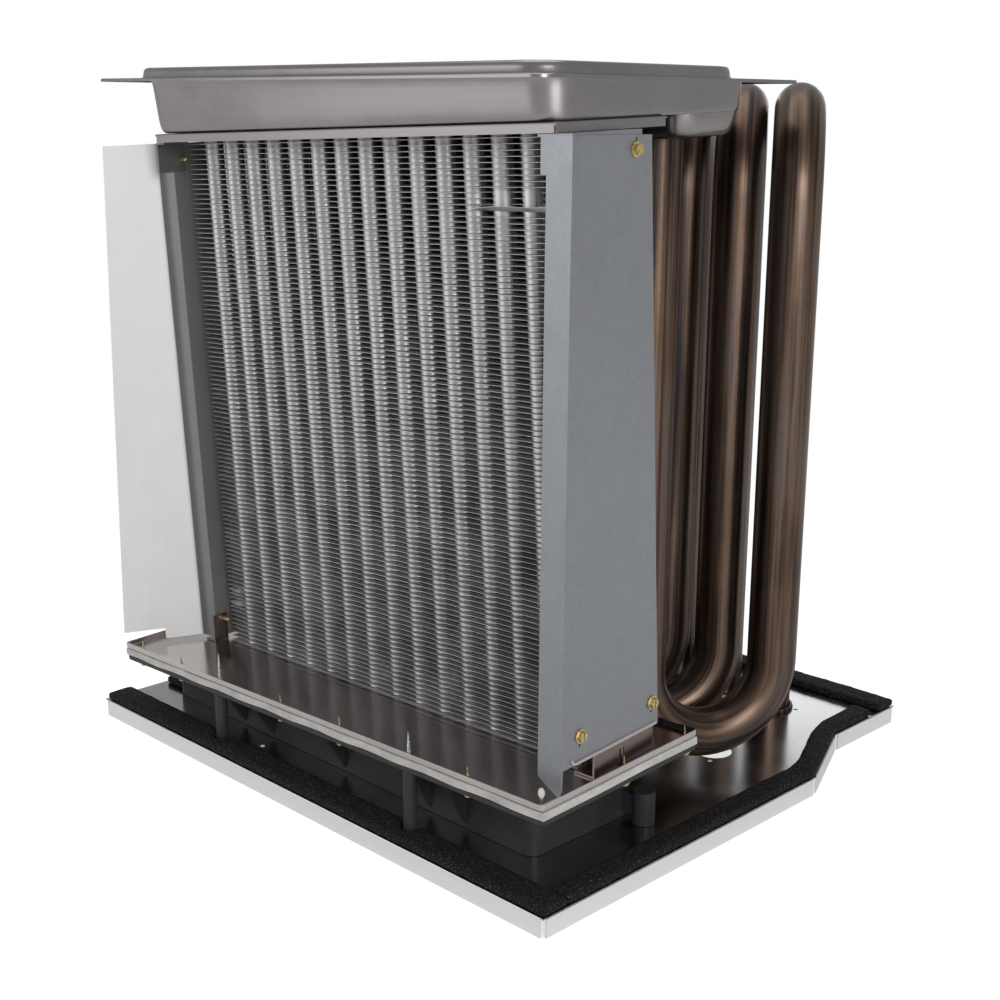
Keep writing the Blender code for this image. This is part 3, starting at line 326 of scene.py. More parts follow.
def lit_wing_shaded_strip_finish(color):
    """Zinc sheet: the wing whitened and chalky as painted light, the strip behind it darkened
    and greenish as painted shade.
    """
    finish = Finish("lit_wing_shaded_strip_sheet", color, 0.1, 0.5)
    along = finish.tree.nodes.new("ShaderNodeVectorMath")
    along.operation = 'DOT_PRODUCT'
    axis = COIL.to_3x3() @ Vector((1.0, 0.0, 0.0))
    finish.link(finish.coords.outputs["Object"], along.inputs[0])
    along.inputs[1].default_value = axis
    start = axis.dot(COIL.translation)
    place = along.outputs["Value"]
    # Mask from the wing's painted light to the strip's painted shade
    strip = finish.span(place, 0.0, 1.0, start + WING_EDGE[0], start + WING_EDGE[1])
    clouds = finish.noise(26.0, 5.0, 0.6)
    streaks = finish.noise(60.0, 3.0, 0.5, (9.0, 9.0, 0.25))
    tone = finish.blend(finish.shades(clouds, 0.94, 1.03),
                        finish.shades(streaks, 0.96, 1.03), 0.4)
    # The strip's painted shade eases off away from the wing
    strip_shade_fade = finish.span(place, 0.0, 1.0, start + STRIP_SHADE_FADE[0], start + STRIP_SHADE_FADE[1])
    strip_painted_shade = finish.blend((0.13, 0.14, 0.13), (0.24, 0.25, 0.235), strip_shade_fade)
    finish.base(finish.blend(tone, strip_painted_shade, strip))
    finish.metallic(finish.span(strip, 0.1, 0.6, 0.0, 1.0))
    finish.rough(finish.span(clouds, 0.45, 0.56))
    finish.bump(finish.noise(420.0, 3.0), 0.08, 0.2 * MM)
    return finish.material


# Between these heights the panel's turned-down edge becomes its top
PANEL_EDGE = (13.5 * MM, 14.2 * MM)


def panel_finish(color):
    """Bright rolled sheet, a mirror on top; its turned-down edges are made near white and less
    metallic as painted light.
    """
    finish = Finish("panel_sheet", color, 1.0, 0.12)
    top = finish.span(finish.height(), 0.0, 1.0, *PANEL_EDGE)
    clouds = finish.noise(18.0, 5.0, 0.6)
    tone = finish.shades(clouds, 0.55, 0.75)
    # Painted light: the turned-down edges get near white instead of the sheet's own colour
    finish.base(finish.blend((0.93, 0.93, 0.94), tone, top))
    finish.metallic(finish.span(top, 0.1, 1.0, 0.0, 1.0))
    smear = finish.span(clouds, 0.15, 0.26)
    finish.rough(finish.total(smear, finish.span(top, 0.3, 0.0, 0.0, 1.0)))
    finish.bump(finish.noise(300.0, 3.0), 0.05, 0.1 * MM)
    return finish.material


def brushed_finish(name, color, roughness, stretch):
    """Drawn stainless sheet with fine lines along one direction and smears."""
    finish = Finish(name, color, 1.0, roughness)
    lines = finish.noise(260.0, 3.0, 0.6, stretch)
    smears = finish.noise(14.0, 6.0, 0.62)
    tone = finish.shades(smears, 0.86, 1.10)
    tone = finish.blend(tone, finish.shades(lines, 0.90, 1.06), 0.4)
    finish.base(tone)
    finish.rough(finish.span(smears, roughness - 0.04, roughness + 0.07))
    finish.bump(lines, 0.05, 0.05 * MM)
    return finish.material


# Mesh attribute with each vertex's place on the straightened tube
GRAIN = "grain"


def tinted_finish(name):
    """Steel tube with blue-black and brown heat tint, in long streaks."""
    finish = Finish(name, (0.2, 0.14, 0.11), 0.85, 0.4)
    straight = finish.tree.nodes.new("ShaderNodeAttribute")
    straight.attribute_name = GRAIN
    finish.space = straight.outputs["Vector"]
    streaks = finish.noise(16.0, 6.0, 0.6, (14.0, 14.0, 0.22))
    bands = finish.noise(3.2, 4.0, 0.55, (2.4, 2.4, 1.2))
    mixed = finish.total(finish.span(bands, 0.0, 0.42, 0.25, 0.75),
                         finish.span(streaks, 0.0, 0.58, 0.25, 0.75))
    tone = finish.ramp(mixed, (
        (0.22, (0.020, 0.018, 0.021)),
        (0.40, (0.056, 0.040, 0.032)),
        (0.52, (0.130, 0.080, 0.053)),
        (0.62, (0.145, 0.112, 0.092)),
        (0.78, (0.058, 0.053, 0.062))))
    specks = finish.noise(240.0, 4.0, 0.7)
    tone = finish.blend(tone, (0.05, 0.04, 0.038), finish.span(specks, 0.0, 0.5, 0.58, 0.72))
    finish.base(tone)
    finish.rough(finish.span(streaks, 0.27, 0.4))
    finish.bump(specks, 0.08, 0.2 * MM)
    return finish.material


def foam_finish(name, color):
    """Coarse closed-cell foam."""
    finish = Finish(name, color, 0.0, 0.92)
    cells = finish.cells(330.0)
    grain = finish.noise(520.0, 4.0, 0.75)
    specks = finish.span(finish.noise(900.0, 2.0, 0.5), 0.0, 1.0, 0.60, 0.68)
    pores = finish.blend(finish.shades(grain, 0.4, 3.4), finish.color, 0.25)
    finish.base(finish.blend(pores, (0.11, 0.10, 0.095), specks))
    finish.shader.inputs["Specular IOR Level"].default_value = 0.25
    finish.bump(cells.outputs["Distance"], 0.9, 1.2 * MM)
    finish.bump(grain, 0.5, 0.6 * MM)
    return finish.material


def plastic_finish(name, color):
    """Moulded black plastic with a fine grain."""
    finish = Finish(name, color, 0.0, 0.42)
    clouds = finish.noise(30.0, 4.0)
    finish.base(finish.shades(clouds, 0.8, 1.3))
    finish.rough(finish.span(clouds, 0.4, 0.55))
    finish.shader.inputs["Specular IOR Level"].default_value = 0.3
    finish.bump(finish.noise(900.0, 3.0), 0.12, 0.15 * MM)
    return finish.material


def strip_finish(name, color):
    """Soft white sealing strip, a little soiled."""
    finish = Finish(name, color, 0.0, 0.7)
    soil = finish.noise(55.0, 5.0, 0.65, (1.0, 1.0, 2.0))
    finish.base(finish.shades(soil, 0.78, 1.12))
    finish.bump(finish.noise(350.0, 4.0), 0.35, 0.4 * MM)
    return finish.material


def screw_finish(name, color, roughness):
    """Plated screw with patchy wear."""
    finish = Finish(name, color, 1.0, roughness)
    wear = finish.noise(420.0, 4.0, 0.6)
    finish.base(finish.shades(wear, 0.62, 1.35))
    finish.rough(finish.span(wear, roughness - 0.07, roughness + 0.15))
    finish.bump(wear, 0.15, 0.15 * MM)
    return finish.material


# Meshes

def mesh_object(name, verts, faces, material, matrix=None, angle=35.0):
    """New smooth shaded object from plain lists, placed by a matrix."""
    mesh = bpy.data.meshes.new(name)
    mesh.from_pydata([tuple(v) for v in verts], [], faces)
    if matrix is not None:
        mesh.transform(matrix)
    mesh.materials.append(material)
    mesh.shade_smooth()
    mesh.set_sharp_from_angle(angle=math.radians(angle))
    obj = bpy.data.objects.new(name, mesh)
    bpy.context.scene.collection.objects.link(obj)
    return obj


def apply_modifiers(obj):
    """The object's mesh becomes what its modifiers make of it."""
    bpy.context.view_layer.update()
    depsgraph = bpy.context.evaluated_depsgraph_get()
    mesh = bpy.data.meshes.new_from_object(obj.evaluated_get(depsgraph))
    obj.modifiers.clear()
    old = obj.data
    obj.data = mesh
    bpy.data.meshes.remove(old)


def copy_of(node, name, material):
    """A new piece with a CAD node's mesh, to be refined."""
    mesh = NODES[node].data.copy()
    mesh.name = name
    mesh.materials.clear()
    mesh.materials.append(material)
    obj = bpy.data.objects.new(name, mesh)
    bpy.context.scene.collection.objects.link(obj)
    return obj


def dress(node, material):
    """Gives a CAD node its finish."""
    for slot in NODES[node].material_slots:
        slot.material = material


def seat(obj, slot, *nodes):
    """The piece rides on the one body and stands for its nodes; the slot is not used."""
    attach(obj, "root")
    if nodes:
        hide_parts(*nodes)


class Soup:
    """Vertices and faces gathered from many closed shells."""

    def __init__(self):
        self.verts = []
        self.faces = []

    def add(self, verts, faces):
        base = len(self.verts)
        self.verts.extend(verts)
        self.faces.extend([tuple(i + base for i in face) for face in faces])

    def rings(self, rings):
        """Closed shell through rings of equal length, capped at both ends."""
        count = len(rings[0])
        faces = []
        for level in range(len(rings) - 1):
            low = level * count
            high = low + count
            for i in range(count):
                j = (i + 1) % count
                faces.append((low + i, low + j, high + j, high + i))
        faces.append(tuple(reversed(range(count))))
        last = (len(rings) - 1) * count
        faces.append(tuple(range(last, last + count)))
        self.add([point for ring in rings for point in ring], faces)


def circle(x, y, z, radius, sides):
    """Ring of points round an upright axis."""
    step = 2.0 * math.pi / sides
    return [(x + radius * math.cos(step * k), y + radius * math.sin(step * k), z)
            for k in range(sides)]


# Waves that add up to a slow wander, in radians per metre
WAVES = (23.0, 61.0, 143.0)

# The finned coil. FIN_ROWS and FIN_SOFT are shares of a fin's depth: where its
# rows of vertices lie, and how far in from its edges it ripples
FIN_COLUMNS = 84
FIN_ROWS = (0.0, 0.07, 0.3, 0.93, 1.0)
FIN_SOFT = 0.25
FIN_BENT = 0.3
FIN_INSET = 0.35 * MM

# A coil tube is widest at a fin and narrowest a little above it
COIL_TUBE_SIDES = 14
COIL_TUBE_FLARE = 1.04
COIL_TUBE_WAIST = 0.965
WAIST_PLACE = 0.30
FIRST_TUBE_X = -422.4 * MM

# Where the fins are damaged, in the coil's frame: a tear high at the right,
# deepening from its start, and a crushed patch low at the left
TEAR_START = -118.0 * MM
TEAR_FADE = 22.0 * MM
TEAR_Z = 378.0 * MM
TEAR_DEPTH = 10.5 * MM
TEAR_LIFT = 3.4 * MM
TEAR_WANDER = (1.5 * MM, 0.8 * MM)
CRUSH_X = (-443.0 * MM, -424.0 * MM)
CRUSH_Z = (24.0 * MM, 46.0 * MM)
CRUSH_DEPTH = 2.4 * MM
CRUSH_SAG = 3.0 * MM


def smooth_noise(x, seed):
    """Slow wander between -1 and 1 along x, the same each time for a seed."""
    total = 0.0
    for octave, wave in enumerate(WAVES):
        phase = math.sin(seed * 12.9898 + octave * 78.233) * 43758.5453
        phase = (phase - math.floor(phase)) * 2.0 * math.pi
        total += math.sin(x * wave + phase) / (octave + 1.3)
    return total / 1.6


def edge_shift(number, x, z, pitch):
    """How far a fin's front edge moves back and up where it is damaged."""
    back = 0.0
    up = 0.0
    step = round((z - TEAR_Z) / pitch)
    fade = max(0.0, min(1.0, (x - TEAR_START) / TEAR_FADE))
    if step in (0, 1, 2):
        back = (TEAR_DEPTH + TEAR_WANDER[0] * smooth_noise(x * 2.0, 5.0 + step)) * fade
    if step == -1:
        up = (TEAR_LIFT + TEAR_WANDER[1] * smooth_noise(x * 3.0, 9.0)) * fade
    if CRUSH_X[0] < x < CRUSH_X[1] and CRUSH_Z[0] < z < CRUSH_Z[1]:
        along = (x - CRUSH_X[0]) / (CRUSH_X[1] - CRUSH_X[0])
        press = math.sin(math.pi * along)
        back += CRUSH_DEPTH * press
        up -= CRUSH_SAG * press * (0.6 + 0.4 * math.sin(number * 2.3))
    return back, up


def fin_steps():
    """How many gaps there are between fins, and the distance that they leave."""
    coil = settings("coil")
    height = FIN_HIGH.z - FIN_LOW.z - coil.fin_sheet
    steps = int(round(height / coil.fin_pitch))
    return steps, height / steps


def fin_faces():
    """Faces of a fin: lower side, upper side and rim, over two layers of vertices."""
    width = FIN_COLUMNS + 1
    layer = width * len(FIN_ROWS)
    faces = []
    for row in range(len(FIN_ROWS) - 1):
        for i in range(FIN_COLUMNS):
            a = row * width + i
            b = a + 1
            c = a + width + 1
            d = a + width
            faces.append((a + layer, b + layer, c + layer, d + layer))
            faces.append((d, c, b, a))
    rim = list(range(width))
    rim += [row * width + FIN_COLUMNS for row in range(1, len(FIN_ROWS))]
    rim += [(len(FIN_ROWS) - 1) * width + i for i in range(FIN_COLUMNS - 1, -1, -1)]
    rim += [row * width for row in range(len(FIN_ROWS) - 2, 0, -1)]
    for k, a in enumerate(rim):
        b = rim[(k + 1) % len(rim)]
        faces.append((a, b, b + layer, a + layer))
    return faces


def build_fins(material):
    """Thin plates whose edges wander a little, as one piece."""
    coil = settings("coil")
    steps, pitch = fin_steps()
    half = coil.fin_sheet / 2
    depth = FIN_HIGH.y - FIN_LOW.y
    faces = fin_faces()
    soup = Soup()
    for number in range(steps + 1):
        z = FIN_LOW.z + half + number * pitch
        ripple = 0.0 if number in (0, steps) else coil.fin_ripple
        surface = []
        for part in FIN_ROWS:
            outer = max(0.0, 1.0 - min(part, 1.0 - part) / FIN_SOFT)
            front = max(0.0, 1.0 - part / FIN_BENT)
            for x in np.linspace(FIN_LOW.x, FIN_HIGH.x, FIN_COLUMNS + 1):
                back, up = edge_shift(number, x, z, pitch)
                lift = ripple * outer * smooth_noise(x, number + 17.0 * part)
                inset = FIN_INSET * front * abs(smooth_noise(x * 0.7, number * 3.1))
                fold = up if part == 0.0 else 0.0
                surface.append((x, FIN_LOW.y + depth * part + back * front + inset,
                                z + lift + fold))
        low = [(x, y, max(h - half, FIN_LOW.z)) for x, y, h in surface]
        high = [(x, y, min(h + half, FIN_HIGH.z)) for x, y, h in surface]
        soup.add(low + high, faces)
    return mesh_object("coil_fins", soup.verts, soup.faces, material, COIL)


def build_coil_tubes(name, x_first, y, count, material):
    """A row of upright tubes with a flared collar at every fin."""
    coil = settings("coil")
    steps, pitch = fin_steps()
    wide = coil.tube_radius * COIL_TUBE_FLARE
    narrow = coil.tube_radius * COIL_TUBE_WAIST
    soup = Soup()
    for k in range(count):
        x = x_first + k * coil.tube_pitch
        rings = []
        for step in range(steps):
            z = FIN_LOW.z + coil.fin_sheet / 2 + step * pitch
            rings.append(circle(x, y, z, wide, COIL_TUBE_SIDES))
            rings.append(circle(x, y, z + WAIST_PLACE * pitch, narrow, COIL_TUBE_SIDES))
        top = FIN_HIGH.z - coil.fin_sheet / 2
        rings.append(circle(x, y, top, wide, COIL_TUBE_SIDES))
        soup.rings(rings)
    return mesh_object(name, soup.verts, soup.faces, material, COIL, 60.0)


class EXCHANGER_OT_coil(bpy.types.Operator):
    """Build the fins and the two rows of tubes of the secondary coil."""

    bl_idname = "exchanger.coil"
    bl_label = "Build Coil"
    bl_options = {'REGISTER', 'UNDO'}

    def execute(self, context):
        coil = settings("coil")
        finish = settings("finish")
        fin_look = Finish("fin_sheet_metal", finish.fins, 0.6, 0.4)
        clouds = fin_look.noise(35.0, 5.0, 0.6)
        fin_look.base(fin_look.shades(clouds, 0.72, 1.15))
        fin_look.rough(fin_look.span(clouds, 0.34, 0.5))
        tube_look = brushed_finish("coil_tube_metal", finish.coil_tubes, 0.42,
                                   (1.0, 1.0, 0.1))
        shade = brushed_finish("shaded_tube_metal", (0.16, 0.16, 0.16), 0.4,
                               (1.0, 1.0, 0.1))
        row = (FIN_HIGH.y - FIN_LOW.y) / 2
        seat(build_fins(fin_look.material), "fin_metal", "fin_pack")
        seat(build_coil_tubes("coil_tubes_front", FIRST_TUBE_X, FIN_LOW.y + row / 2,
                              coil.front_tubes, tube_look), "fin_metal")
        seat(build_coil_tubes("coil_tubes_back", FIRST_TUBE_X + coil.tube_pitch / 2,
                              FIN_LOW.y + row * 1.5, coil.front_tubes - 1, shade),
             "fin_metal")
        return {'FINISHED'}


# Primary tubes

TUBE_NODES = sorted(name for name in NODES if name.startswith("serpentine_tube_"))
COLLAR_NODES = sorted(name for name in NODES if name.startswith("inlet_collar_"))

# The front leg stands right of the last one, and the middle leg behind the front
LEG_SHIFT = 23.3 * MM
LEG_STEP = 98.0 * MM
LOWER_BEND_Z = 107.6 * MM
BEND_STEPS = 28
LEG_PIECE = 40.0 * MM
BORE_DEPTH = 38.0 * MM
GRAIN_STEP = 0.37
COLLAR_CLEARANCE = 0.25 * MM
COLLAR_SIDES = 64
COLLAR_STEPS = 8


def lay_grain(obj, places):
    """Stores where each vertex would be if the tube were straight."""
    layer = obj.data.attributes.new(GRAIN, 'FLOAT_VECTOR', 'POINT')
    layer.data.foreach_set("vector", [value for place in places for value in place])


def return_bend(start, end, side):
    """Half circle between two upright legs, above or below them."""
    centre = (start + end) / 2
    half = (start - end) / 2
    points = []
    for k in range(BEND_STEPS + 1):
        angle = math.pi * k / BEND_STEPS
        flat = centre + half * math.cos(angle)
        points.append(Vector((flat.x, flat.y, start.z + side * half.length * math.sin(angle))))
    return points


def tube_route(node):
    """Centre line of a bent tube, from the pan down, up and down to the panel."""
    low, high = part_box(node)
    radius = settings("tubes").radius
    # The front leg is the one nearest the coil, the last one ends at the panel
    last = Vector((low.x + radius, high.y - radius, 0.0))
    front = Vector((last.x + LEG_SHIFT, low.y + radius, 0.0))
    middle = Vector((high.x - radius, front.y + LEG_STEP, 0.0))
    upper_z = high.z - radius - (middle - last).length / 2
    points = [Vector((front.x, front.y, leg_end(node)))]
    for a, b, z, side in ((front, middle, LOWER_BEND_Z, -1.0), (middle, last, upper_z, 1.0)):
        points += return_bend(Vector((a.x, a.y, z)), Vector((b.x, b.y, z)), side)
    points.append(Vector((last.x, last.y, low.z)))
    return points


def leg_end(node):
    """Top of a tube's front leg, inside the pan's boot."""
    radius = settings("tubes").radius
    low, _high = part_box(node)
    edge = low.y + radius
    tops = [vert.co.z for vert in NODES[node].data.vertices if abs(vert.co.y - edge) < radius]
    return max(tops)


def swept_rings(points, radius, sides):
    """Rings square to a centre line, turned as little as possible along it."""
    rings = []
    normal = Vector((1.0, 0.0, 0.0))
    for i, point in enumerate(points):
        before = points[max(0, i - 1)]
        after = points[min(len(points) - 1, i + 1)]
        tangent = (after - before).normalized()
        normal = (normal - tangent * normal.dot(tangent)).normalized()
        other = tangent.cross(normal)
        ring = []
        for k in range(sides):
            angle = 2.0 * math.pi * k / sides
            ring.append(point + (normal * math.cos(angle) + other * math.sin(angle)) * radius)
        rings.append(ring)
    return rings


def build_bent_tube(node, name, material):
    """A bent tube, open at both ends for as far as one can look in."""
    tubes = settings("tubes")
    route = tube_route(node)
    narrow = (tubes.radius - tubes.wall) / tubes.radius
    legs = []
    for a, b in zip(route, route[1:]):
        pieces = max(1, int((b - a).length / LEG_PIECE))
        legs += [a.lerp(b, k / pieces) for k in range(pieces)]
    legs.append(route[-1])
    outer = swept_rings(legs, tubes.radius, tubes.sides)

    def bore(ring, centre, ahead):
        """The bore's mouth and its end, from the mouth inwards."""
        deep = (ahead - centre).normalized() * BORE_DEPTH
        mouth = [centre + (p - centre) * narrow for p in ring]
        return mouth, [p + deep for p in mouth]

    mouth, end = bore(outer[0], route[0], route[1])
    rings = [end, mouth] + outer
    rings += bore(outer[-1], route[-1], route[-2])
    soup = Soup()
    soup.rings([[tuple(p) for p in ring] for ring in rings])
    obj = mesh_object(name, soup.verts, soup.faces, material, None, 50.0)
    places = []
    length = GRAIN_STEP * int(node[-1])
    for number, ring in enumerate(rings):
        if 2 < number < len(rings) - 2:
            length += (legs[number - 2] - legs[number - 3]).length
        places += [(x, y, length) for x, y, _z in circle(0.0, 0.0, 0.0, tubes.radius,
                                                         tubes.sides)]
    lay_grain(obj, places)
    return obj


def build_collar(node, name, material):
    """Rolled collar where a tube passes the panel."""
    low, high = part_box(node)
    centre = (low + high) / 2
    rise = high.z - low.z
    inner = settings("tubes").radius + COLLAR_CLEARANCE
    outer = (high.x - low.x) / 2
    middle = (inner + outer) / 2
    verts = []
    for k in range(COLLAR_STEPS + 1):
        angle = math.pi * k / COLLAR_STEPS
        verts += circle(centre.x, centre.y, low.z + rise * math.sin(angle),
                        middle + (outer - inner) / 2 * math.cos(angle), COLLAR_SIDES)
    faces = []
    for level in range(COLLAR_STEPS + 1):
        below = level * COLLAR_SIDES
        above = ((level + 1) % (COLLAR_STEPS + 1)) * COLLAR_SIDES
        for i in range(COLLAR_SIDES):
            j = (i + 1) % COLLAR_SIDES
            faces.append((below + i, below + j, above + j, above + i))
    obj = mesh_object(name, verts, faces, material, None, 50.0)
    lay_grain(obj, verts)
    return obj


class EXCHANGER_OT_tubes(bpy.types.Operator):
    """Build the seven bent primary tubes and their collars."""

    bl_idname = "exchanger.tubes"
    bl_label = "Build Bent Tubes"
    bl_options = {'REGISTER', 'UNDO'}

    def execute(self, context):
        tint = tinted_finish("heat_tinted_tube")
        for number, node in enumerate(TUBE_NODES):
            tube = build_bent_tube(node, "bent_tube_%d" % (number + 1), tint)
            seat(tube, "tinted_steel", node)
        for number, node in enumerate(COLLAR_NODES):
            collar = build_collar(node, "rolled_collar_%d" % (number + 1), tint)
            seat(collar, "tinted_steel", node)
        return {'FINISHED'}


# Sheet metal

# The hem under the right plate, in the coil's frame: its ends, and how its hook
# leaves the front end
HEM_FRONT = Vector((-2.2 * MM, 35.6 * MM, 16.6 * MM))
HEM_BACK = Vector((-7.2 * MM, 125.5 * MM, 15.8 * MM))
HEM_HOOK = (Vector((0.4 * MM, -4.2 * MM, 3.4 * MM)), Vector((0.2 * MM, -2.6 * MM, 0.9 * MM)))
HEM_RADIUS = 1.25 * MM


def hem_highlight_finish():
    """Pale pinkish stainless, lightened to paint the highlight along the plate's lower edge."""
    finish = Finish("hem_painted_highlight", (0.62, 0.54, 0.52), 0.35, 0.4)
    finish.base(finish.shades(finish.noise(90.0, 4.0, 0.6, (1.0, 0.3, 1.0)), 0.8, 1.15))
    return finish.material


def build_hem(material):
    """Rolled hem along the right plate's lower edge, with a hook at its front end."""
    route = [HEM_FRONT + shift for shift in HEM_HOOK]
    route += [HEM_FRONT.lerp(HEM_BACK, k / 8) for k in range(9)]
    rings = swept_rings(route, HEM_RADIUS, 12)
    soup = Soup()
    soup.rings([[tuple(p) for p in ring] for ring in rings])
    return mesh_object("plate_hem", soup.verts, soup.faces, material, COIL, 50.0)


class EXCHANGER_OT_sheet_metal(bpy.types.Operator):
    """Finish the panel, tray, header, baffles and brackets, and build the plate's hem."""

    bl_idname = "exchanger.sheet_metal"
    bl_label = "Finish Sheet Metal"
    bl_options = {'REGISTER', 'UNDO'}

    def execute(self, context):
        finish = settings("finish")
        zinc = galvanised_finish("galvanised_sheet", finish.galvanised, 0.42)
        for node in ("right_baffle", "right_upper_bracket"):
            dress(node, zinc)
        dress("left_baffle", lit_wing_shaded_strip_finish(finish.lit_wing))
        dress("left_upper_bracket", galvanised_finish("shaded_sheet", (0.2, 0.21, 0.2), 0.4))
        dress("vestibule_panel", panel_finish(finish.panel))
        dress("lower_tube_sheet",
              brushed_finish("tray_sheet", finish.tray, 0.17, (0.02, 1.0, 1.0)))
        # Painted shade: the lower brackets' stainless is darkened to a brown-grey for the shade
        # they stand in
        shaded_bracket = brushed_finish("shaded_bracket_sheet", (0.24, 0.20, 0.18), 0.3, (1.0, 1.0, 0.05))
        for node in ("left_lower_bracket", "right_lower_bracket"):
            dress(node, shaded_bracket)
        seat(build_hem(hem_highlight_finish()), "stainless")
        dress("upper_header_plate",
              brushed_finish("header_sheet", finish.stainless, 0.3, (0.02, 1.0, 1.0)))
        return {'FINISHED'}


# Steps round a corner of the pan or the cover
CORNER = 10

# Part of the pan's height, and how far its wall has come out by then
PAN_PROFILE = ((0.0, 0.0), (0.012, 0.13), (0.04, 0.26), (0.085, 0.37), (0.15, 0.45),
               (0.25, 0.52), (0.4, 0.60), (0.6, 0.70), (0.78, 0.79), (0.9, 0.86),
               (0.96, 0.92), (1.0, 1.0))
PAN_LEVEL = 432.1 * MM
PAN_SHEET = 1.5 * MM
# How far the pan's foot stands in at the left, right, front and back
PAN_FLARE = (14.0 * MM, 2.0 * MM, 8.0 * MM, 8.0 * MM)
PAN_RADIUS = (17.0 * MM, 9.0 * MM)

# The pan's deeper back part, over the tubes
BOOT_DROP = 16.0 * MM
BOOT_HEIGHT = 20.0 * MM
BOOT_FRONT = -77.5 * MM
BOOT_ROUND = 7.0 * MM
BOOT_RADIUS = (15.0 * MM, 3.0 * MM)
BOOT_STEPS = 8

# The cover: its flange lies below the lid, which steps in and up from it
COVER_SHEET = 1.2 * MM
LID_RISE = 8.0 * MM
LID_MARGIN = (43.0 * MM, 6.0 * MM, 7.0 * MM, 62.0 * MM)
LID_RADIUS = 24.0 * MM
FLANGE_RADIUS = 12.0 * MM
FLANGE_ROUND = 0.6 * MM
# Inset and rise of the lid's step, and inset and depth of the dish inside it
LID_STEPS = ((-2.0, 0.0), (-0.6, 0.5), (0.0, 1.6), (0.4, 4.2), (1.0, 6.2), (2.2, 7.5),
             (4.5, 8.0))
LID_DISH = ((16.0, 0.0), (18.0, 1.0))


def rounded_loop(x0, x1, y0, y1, radius, height):
    """Rounded rectangle, counter-clockwise, with a height for each point."""
    points = []
    for cx, cy, start in ((x1 - radius, y1 - radius, 0.0), (x0 + radius, y1 - radius, 90.0),
                          (x0 + radius, y0 + radius, 180.0), (x1 - radius, y0 + radius, 270.0)):
        for k in range(CORNER + 1):
            angle = math.radians(start + 90.0 * k / CORNER)
            x = cx + radius * math.cos(angle)
            y = cy + radius * math.sin(angle)
            points.append((x, y, height(x, y)))
    return points


def plane_height(level):
    """Height of the coil's own plane at some level, over any place."""
    normal = COIL.to_3x3() @ Vector((0.0, 0.0, 1.0))
    anchor = COIL @ Vector((0.0, 0.0, level))

    def height(x, y):
        return (normal.dot(anchor) - normal.x * x - normal.y * y) / normal.z

    return height


def pan_rings(low, high, inset):
    """Rings of the drawn pan from its floor up: round at the foot, then upright."""
    base = plane_height(PAN_LEVEL + inset)
    rings = []
    for part, out in PAN_PROFILE:
        left, right, front, back = (flare * (1.0 - out) + inset for flare in PAN_FLARE)

        def height(x, y, part=part):
            return base(x, y) + (high.z - base(x, y)) * part

        rings.append(rounded_loop(low.x + left, high.x - right, low.y + front, high.y - back,
                                  PAN_RADIUS[0] + PAN_RADIUS[1] * out - inset, height))
    return rings


def boot_rings(low, high):
    """Rings of the pan's deeper back part, round at its foot."""
    base = plane_height(PAN_LEVEL - BOOT_DROP)
    rings = []
    for k in range(BOOT_STEPS + 1):
        part = k / BOOT_STEPS
        out = math.sqrt(1.0 - (1.0 - part) ** 2)
        narrow = BOOT_ROUND * (1.0 - out)

        def height(x, y, part=part):
            return base(x, y) + BOOT_HEIGHT * part

        rings.append(rounded_loop(low.x + PAN_FLARE[0] + narrow,
                                  high.x - PAN_FLARE[1] - narrow, BOOT_FRONT + narrow,
                                  high.y - PAN_FLARE[3] - narrow,
                                  BOOT_RADIUS[0] + BOOT_RADIUS[1] * out, height))
    return rings


def build_pan(material):
    """Drawn pan, open at its top, with its boot."""
    low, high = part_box("coupling_pan")
    outer = pan_rings(low, high, 0.0)
    inner = pan_rings(low, high, PAN_SHEET)
    soup = Soup()
    soup.rings(outer + inner[::-1])
    soup.rings(boot_rings(low, high))
    return mesh_object("drawn_pan", soup.verts, soup.faces, material, None, 40.0)


def build_cover(material):
    """Cover with a flat flange, a pressed step and a shallow dish."""
    low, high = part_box("coupling_cover")
    flange = high.z - LID_RISE
    left, right, front, back = LID_MARGIN

    def lid(inset, z):
        return rounded_loop(low.x + left + inset, high.x - right - inset,
                            low.y + front + inset, high.y - back - inset,
                            LID_RADIUS - inset, lambda x, y: z)

    def hem(inset, z):
        return rounded_loop(low.x + inset, high.x - inset, low.y + inset, high.y - inset,
                            FLANGE_RADIUS, lambda x, y: z)

    levels = [(inset * MM, flange + rise * MM) for inset, rise in LID_STEPS]
    levels += [(inset * MM, high.z - sink * MM) for inset, sink in LID_DISH]
    outer = [hem(0.0, low.z), hem(0.0, flange - FLANGE_ROUND), hem(FLANGE_ROUND, flange)]
    outer += [lid(inset, z) for inset, z in levels]
    inner = [hem(COVER_SHEET, low.z), hem(COVER_SHEET, flange - COVER_SHEET)]
    inner += [lid(inset + COVER_SHEET, z - COVER_SHEET) for inset, z in levels]
    soup = Soup()
    soup.rings(inner[::-1] + outer)
    return mesh_object("ribbed_cover", soup.verts, soup.faces, material, None, 40.0)


class EXCHANGER_OT_coupling(bpy.types.Operator):
    """Build the drawn coupling pan and its cover."""

    bl_idname = "exchanger.coupling"
    bl_label = "Build Coupling Pan"
    bl_options = {'REGISTER', 'UNDO'}

    def execute(self, context):
        finish = settings("finish")
        look = brushed_finish("pan_sheet", finish.stainless, 0.27, (0.02, 0.5, 1.0))
        seat(build_pan(look), "stainless", "coupling_pan")
        seat(build_cover(look), "stainless", "coupling_cover")
        return {'FINISHED'}


# Foam, sealing strip and moulded box

FOAM_VOXEL = 2.0 * MM
FOAM_WANDER = 0.7 * MM


